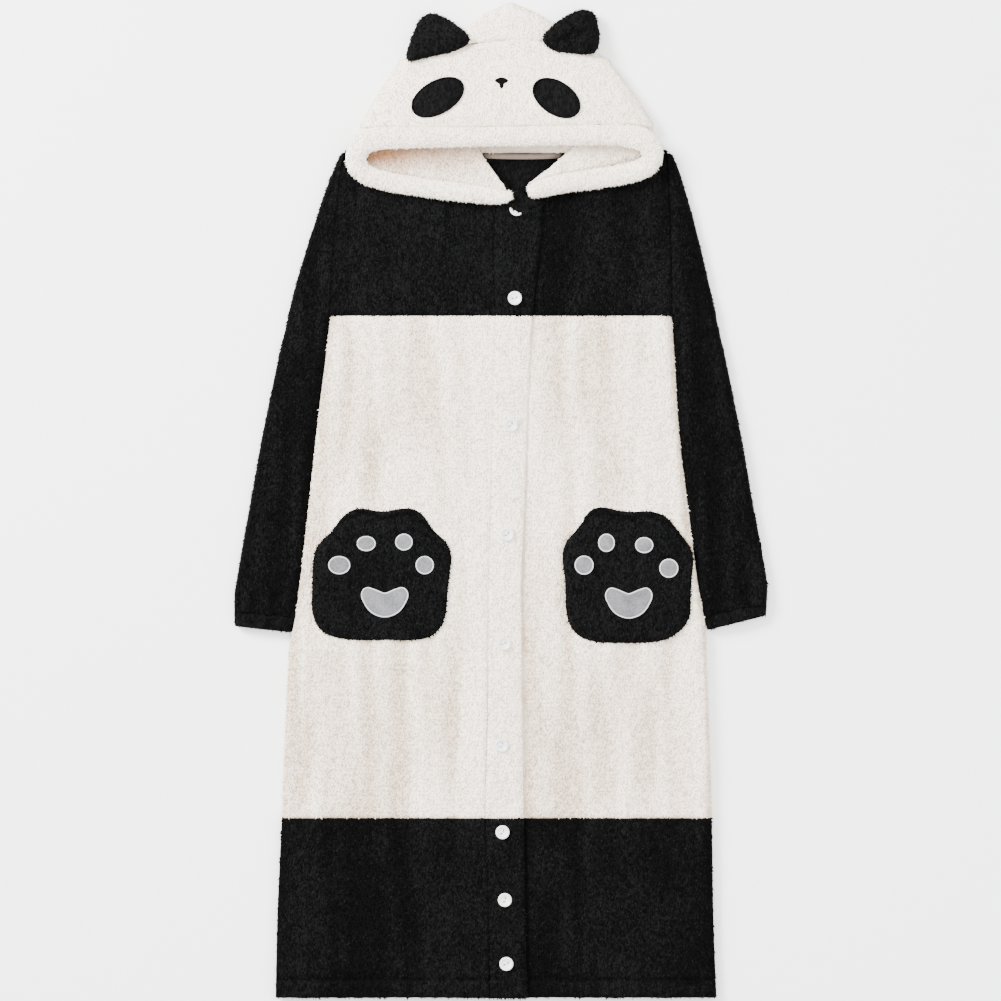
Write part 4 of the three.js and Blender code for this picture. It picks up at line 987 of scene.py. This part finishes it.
def growPile(name, sources, material, slotName, fringe, seed):
    bm = bmesh.new()
    for source in sources:
        bm.from_mesh(made[source].data)
    if fringe:
        layer = bm.faces.layers.int["pile"]
        for face in bm.faces:
            steep = abs(face.normal.z) < pile["fringeSlope"]
            centre = face.calc_center_median()
            free = centre.y < pile["fringeUpTo"] or face.normal.y > 0.5
            face[layer] = 1 if steep and free and centre.z > pile["fringeFoot"] else 0
    mesh = bpy.data.meshes.new(name)
    bm.to_mesh(mesh)
    bm.free()
    holder = bpy.data.objects.new(name + "Base", mesh)
    bpy.context.scene.collection.objects.link(holder)
    modifier = holder.modifiers.new("locks", "NODES")
    spacing = pile["fringeSpacing"] if fringe else pile["spacing"][slotName]
    modifier.node_group = pileTree(material, spacing, fringe, seed)
    bpy.context.view_layer.update()
    final = bpy.data.meshes.new_from_object(holder.evaluated_get(bpy.context.evaluated_depsgraph_get()))
    bpy.data.objects.remove(holder)
    final.name = name
    piece = bpy.data.objects.new(name, final)
    bpy.context.scene.collection.objects.link(piece)
    if not final.materials:
        final.materials.append(material)
    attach(piece, "root")
    print("pile", name, len(final.polygons), "faces")


hoodOutside = ["hood_face", "hood_crown", "hood_band"]
frontYoke = ["front_left_yoke", "front_right_yoke", "placket_yoke"]
frontLower = ["front_left_lower", "front_right_lower", "placket_lower"]
trims = ["ear_left", "ear_right", "pocket_left", "pocket_right"]
piles = [
    {"name": "pile_cream_left", "on": ["front_left_body", "placket_body"], "look": creamLocks},
    {"name": "pile_cream_right", "on": ["front_right_body", "back_body"], "look": creamLocks},
    {"name": "pile_hood", "on": hoodOutside, "look": creamLocks},
    {"name": "pile_cheeks", "on": ["hood_cheek_left", "hood_cheek_right", "hood_back"],
     "look": hoodInsideLocks},
    {"name": "pile_yoke", "on": frontYoke, "look": blackLocks},
    {"name": "pile_lower", "on": frontLower + ["back_lower"], "look": blackLocks},
    {"name": "pile_sleeves", "on": ["sleeve_left", "sleeve_right", "cuff_left", "cuff_right"],
     "look": blackLocks},
    {"name": "pile_trims", "on": trims, "look": blackLocks},
    {"name": "fringe_trims", "on": trims, "look": blackLocks, "fringe": True},
    {"name": "fringe_hood", "on": hoodOutside, "look": creamLocks, "fringe": True},
    {"name": "fringe_black", "on": frontYoke + frontLower, "look": blackLocks, "fringe": True},
]
for seed, item in enumerate(piles):
    slotName = "black_fleece" if item["look"] is blackLocks else "cream_fleece"
    growPile(item["name"], item["on"], item["look"], slotName, item.get("fringe", False), 10 * seed + 3)


# Camera straight above the laid-out robe, and soft studio light

view = {
    "height": 8.0,
    "clothHeight": 0.017,
    "span": 1.3013,
    "centre": (-0.00065, 0.0),
    "sensor": 36.0,
    "clipEnd": 60,
}
lamps = [
    {"name": "keyLight", "place": (-3.0, 2.4, 2.85), "size": 1.8, "power": 800},
    {"name": "fillLight", "place": (1.9, -0.6, 3.0), "size": 2.6, "power": 95},
    {"name": "topLight", "place": (0.0, 0.3, 4.5), "size": 3.0, "power": 195},
]
worldLight = {"colour": (1.0, 1.0, 1.0, 1.0), "strength": 1.7}


def makeCamera():
    data = bpy.data.cameras.new("camera")
    data.sensor_width = view["sensor"]
    data.lens = view["sensor"] * (view["height"] - view["clothHeight"]) / view["span"]
    data.clip_end = view["clipEnd"]
    camera = bpy.data.objects.new("camera", data)
    camera.location = (*view["centre"], view["height"])
    bpy.context.scene.collection.objects.link(camera)
    bpy.context.scene.camera = camera


def makeLights():
    for lamp in lamps:
        data = bpy.data.lights.new(lamp["name"], "AREA")
        data.size = lamp["size"]
        data.energy = lamp["power"]
        light = bpy.data.objects.new(lamp["name"], data)
        light.location = lamp["place"]
        light.rotation_euler = (-Vector(lamp["place"])).to_track_quat("-Z", "Y").to_euler()
        bpy.context.scene.collection.objects.link(light)
    world = bpy.data.worlds.new("studio")
    world.use_nodes = True
    background = world.node_tree.nodes["Background"]
    background.inputs["Color"].default_value = worldLight["colour"]
    background.inputs["Strength"].default_value = worldLight["strength"]
    bpy.context.scene.world = world


makeCamera()
makeLights()
bpy.context.view_layer.update()
print("scene ready")
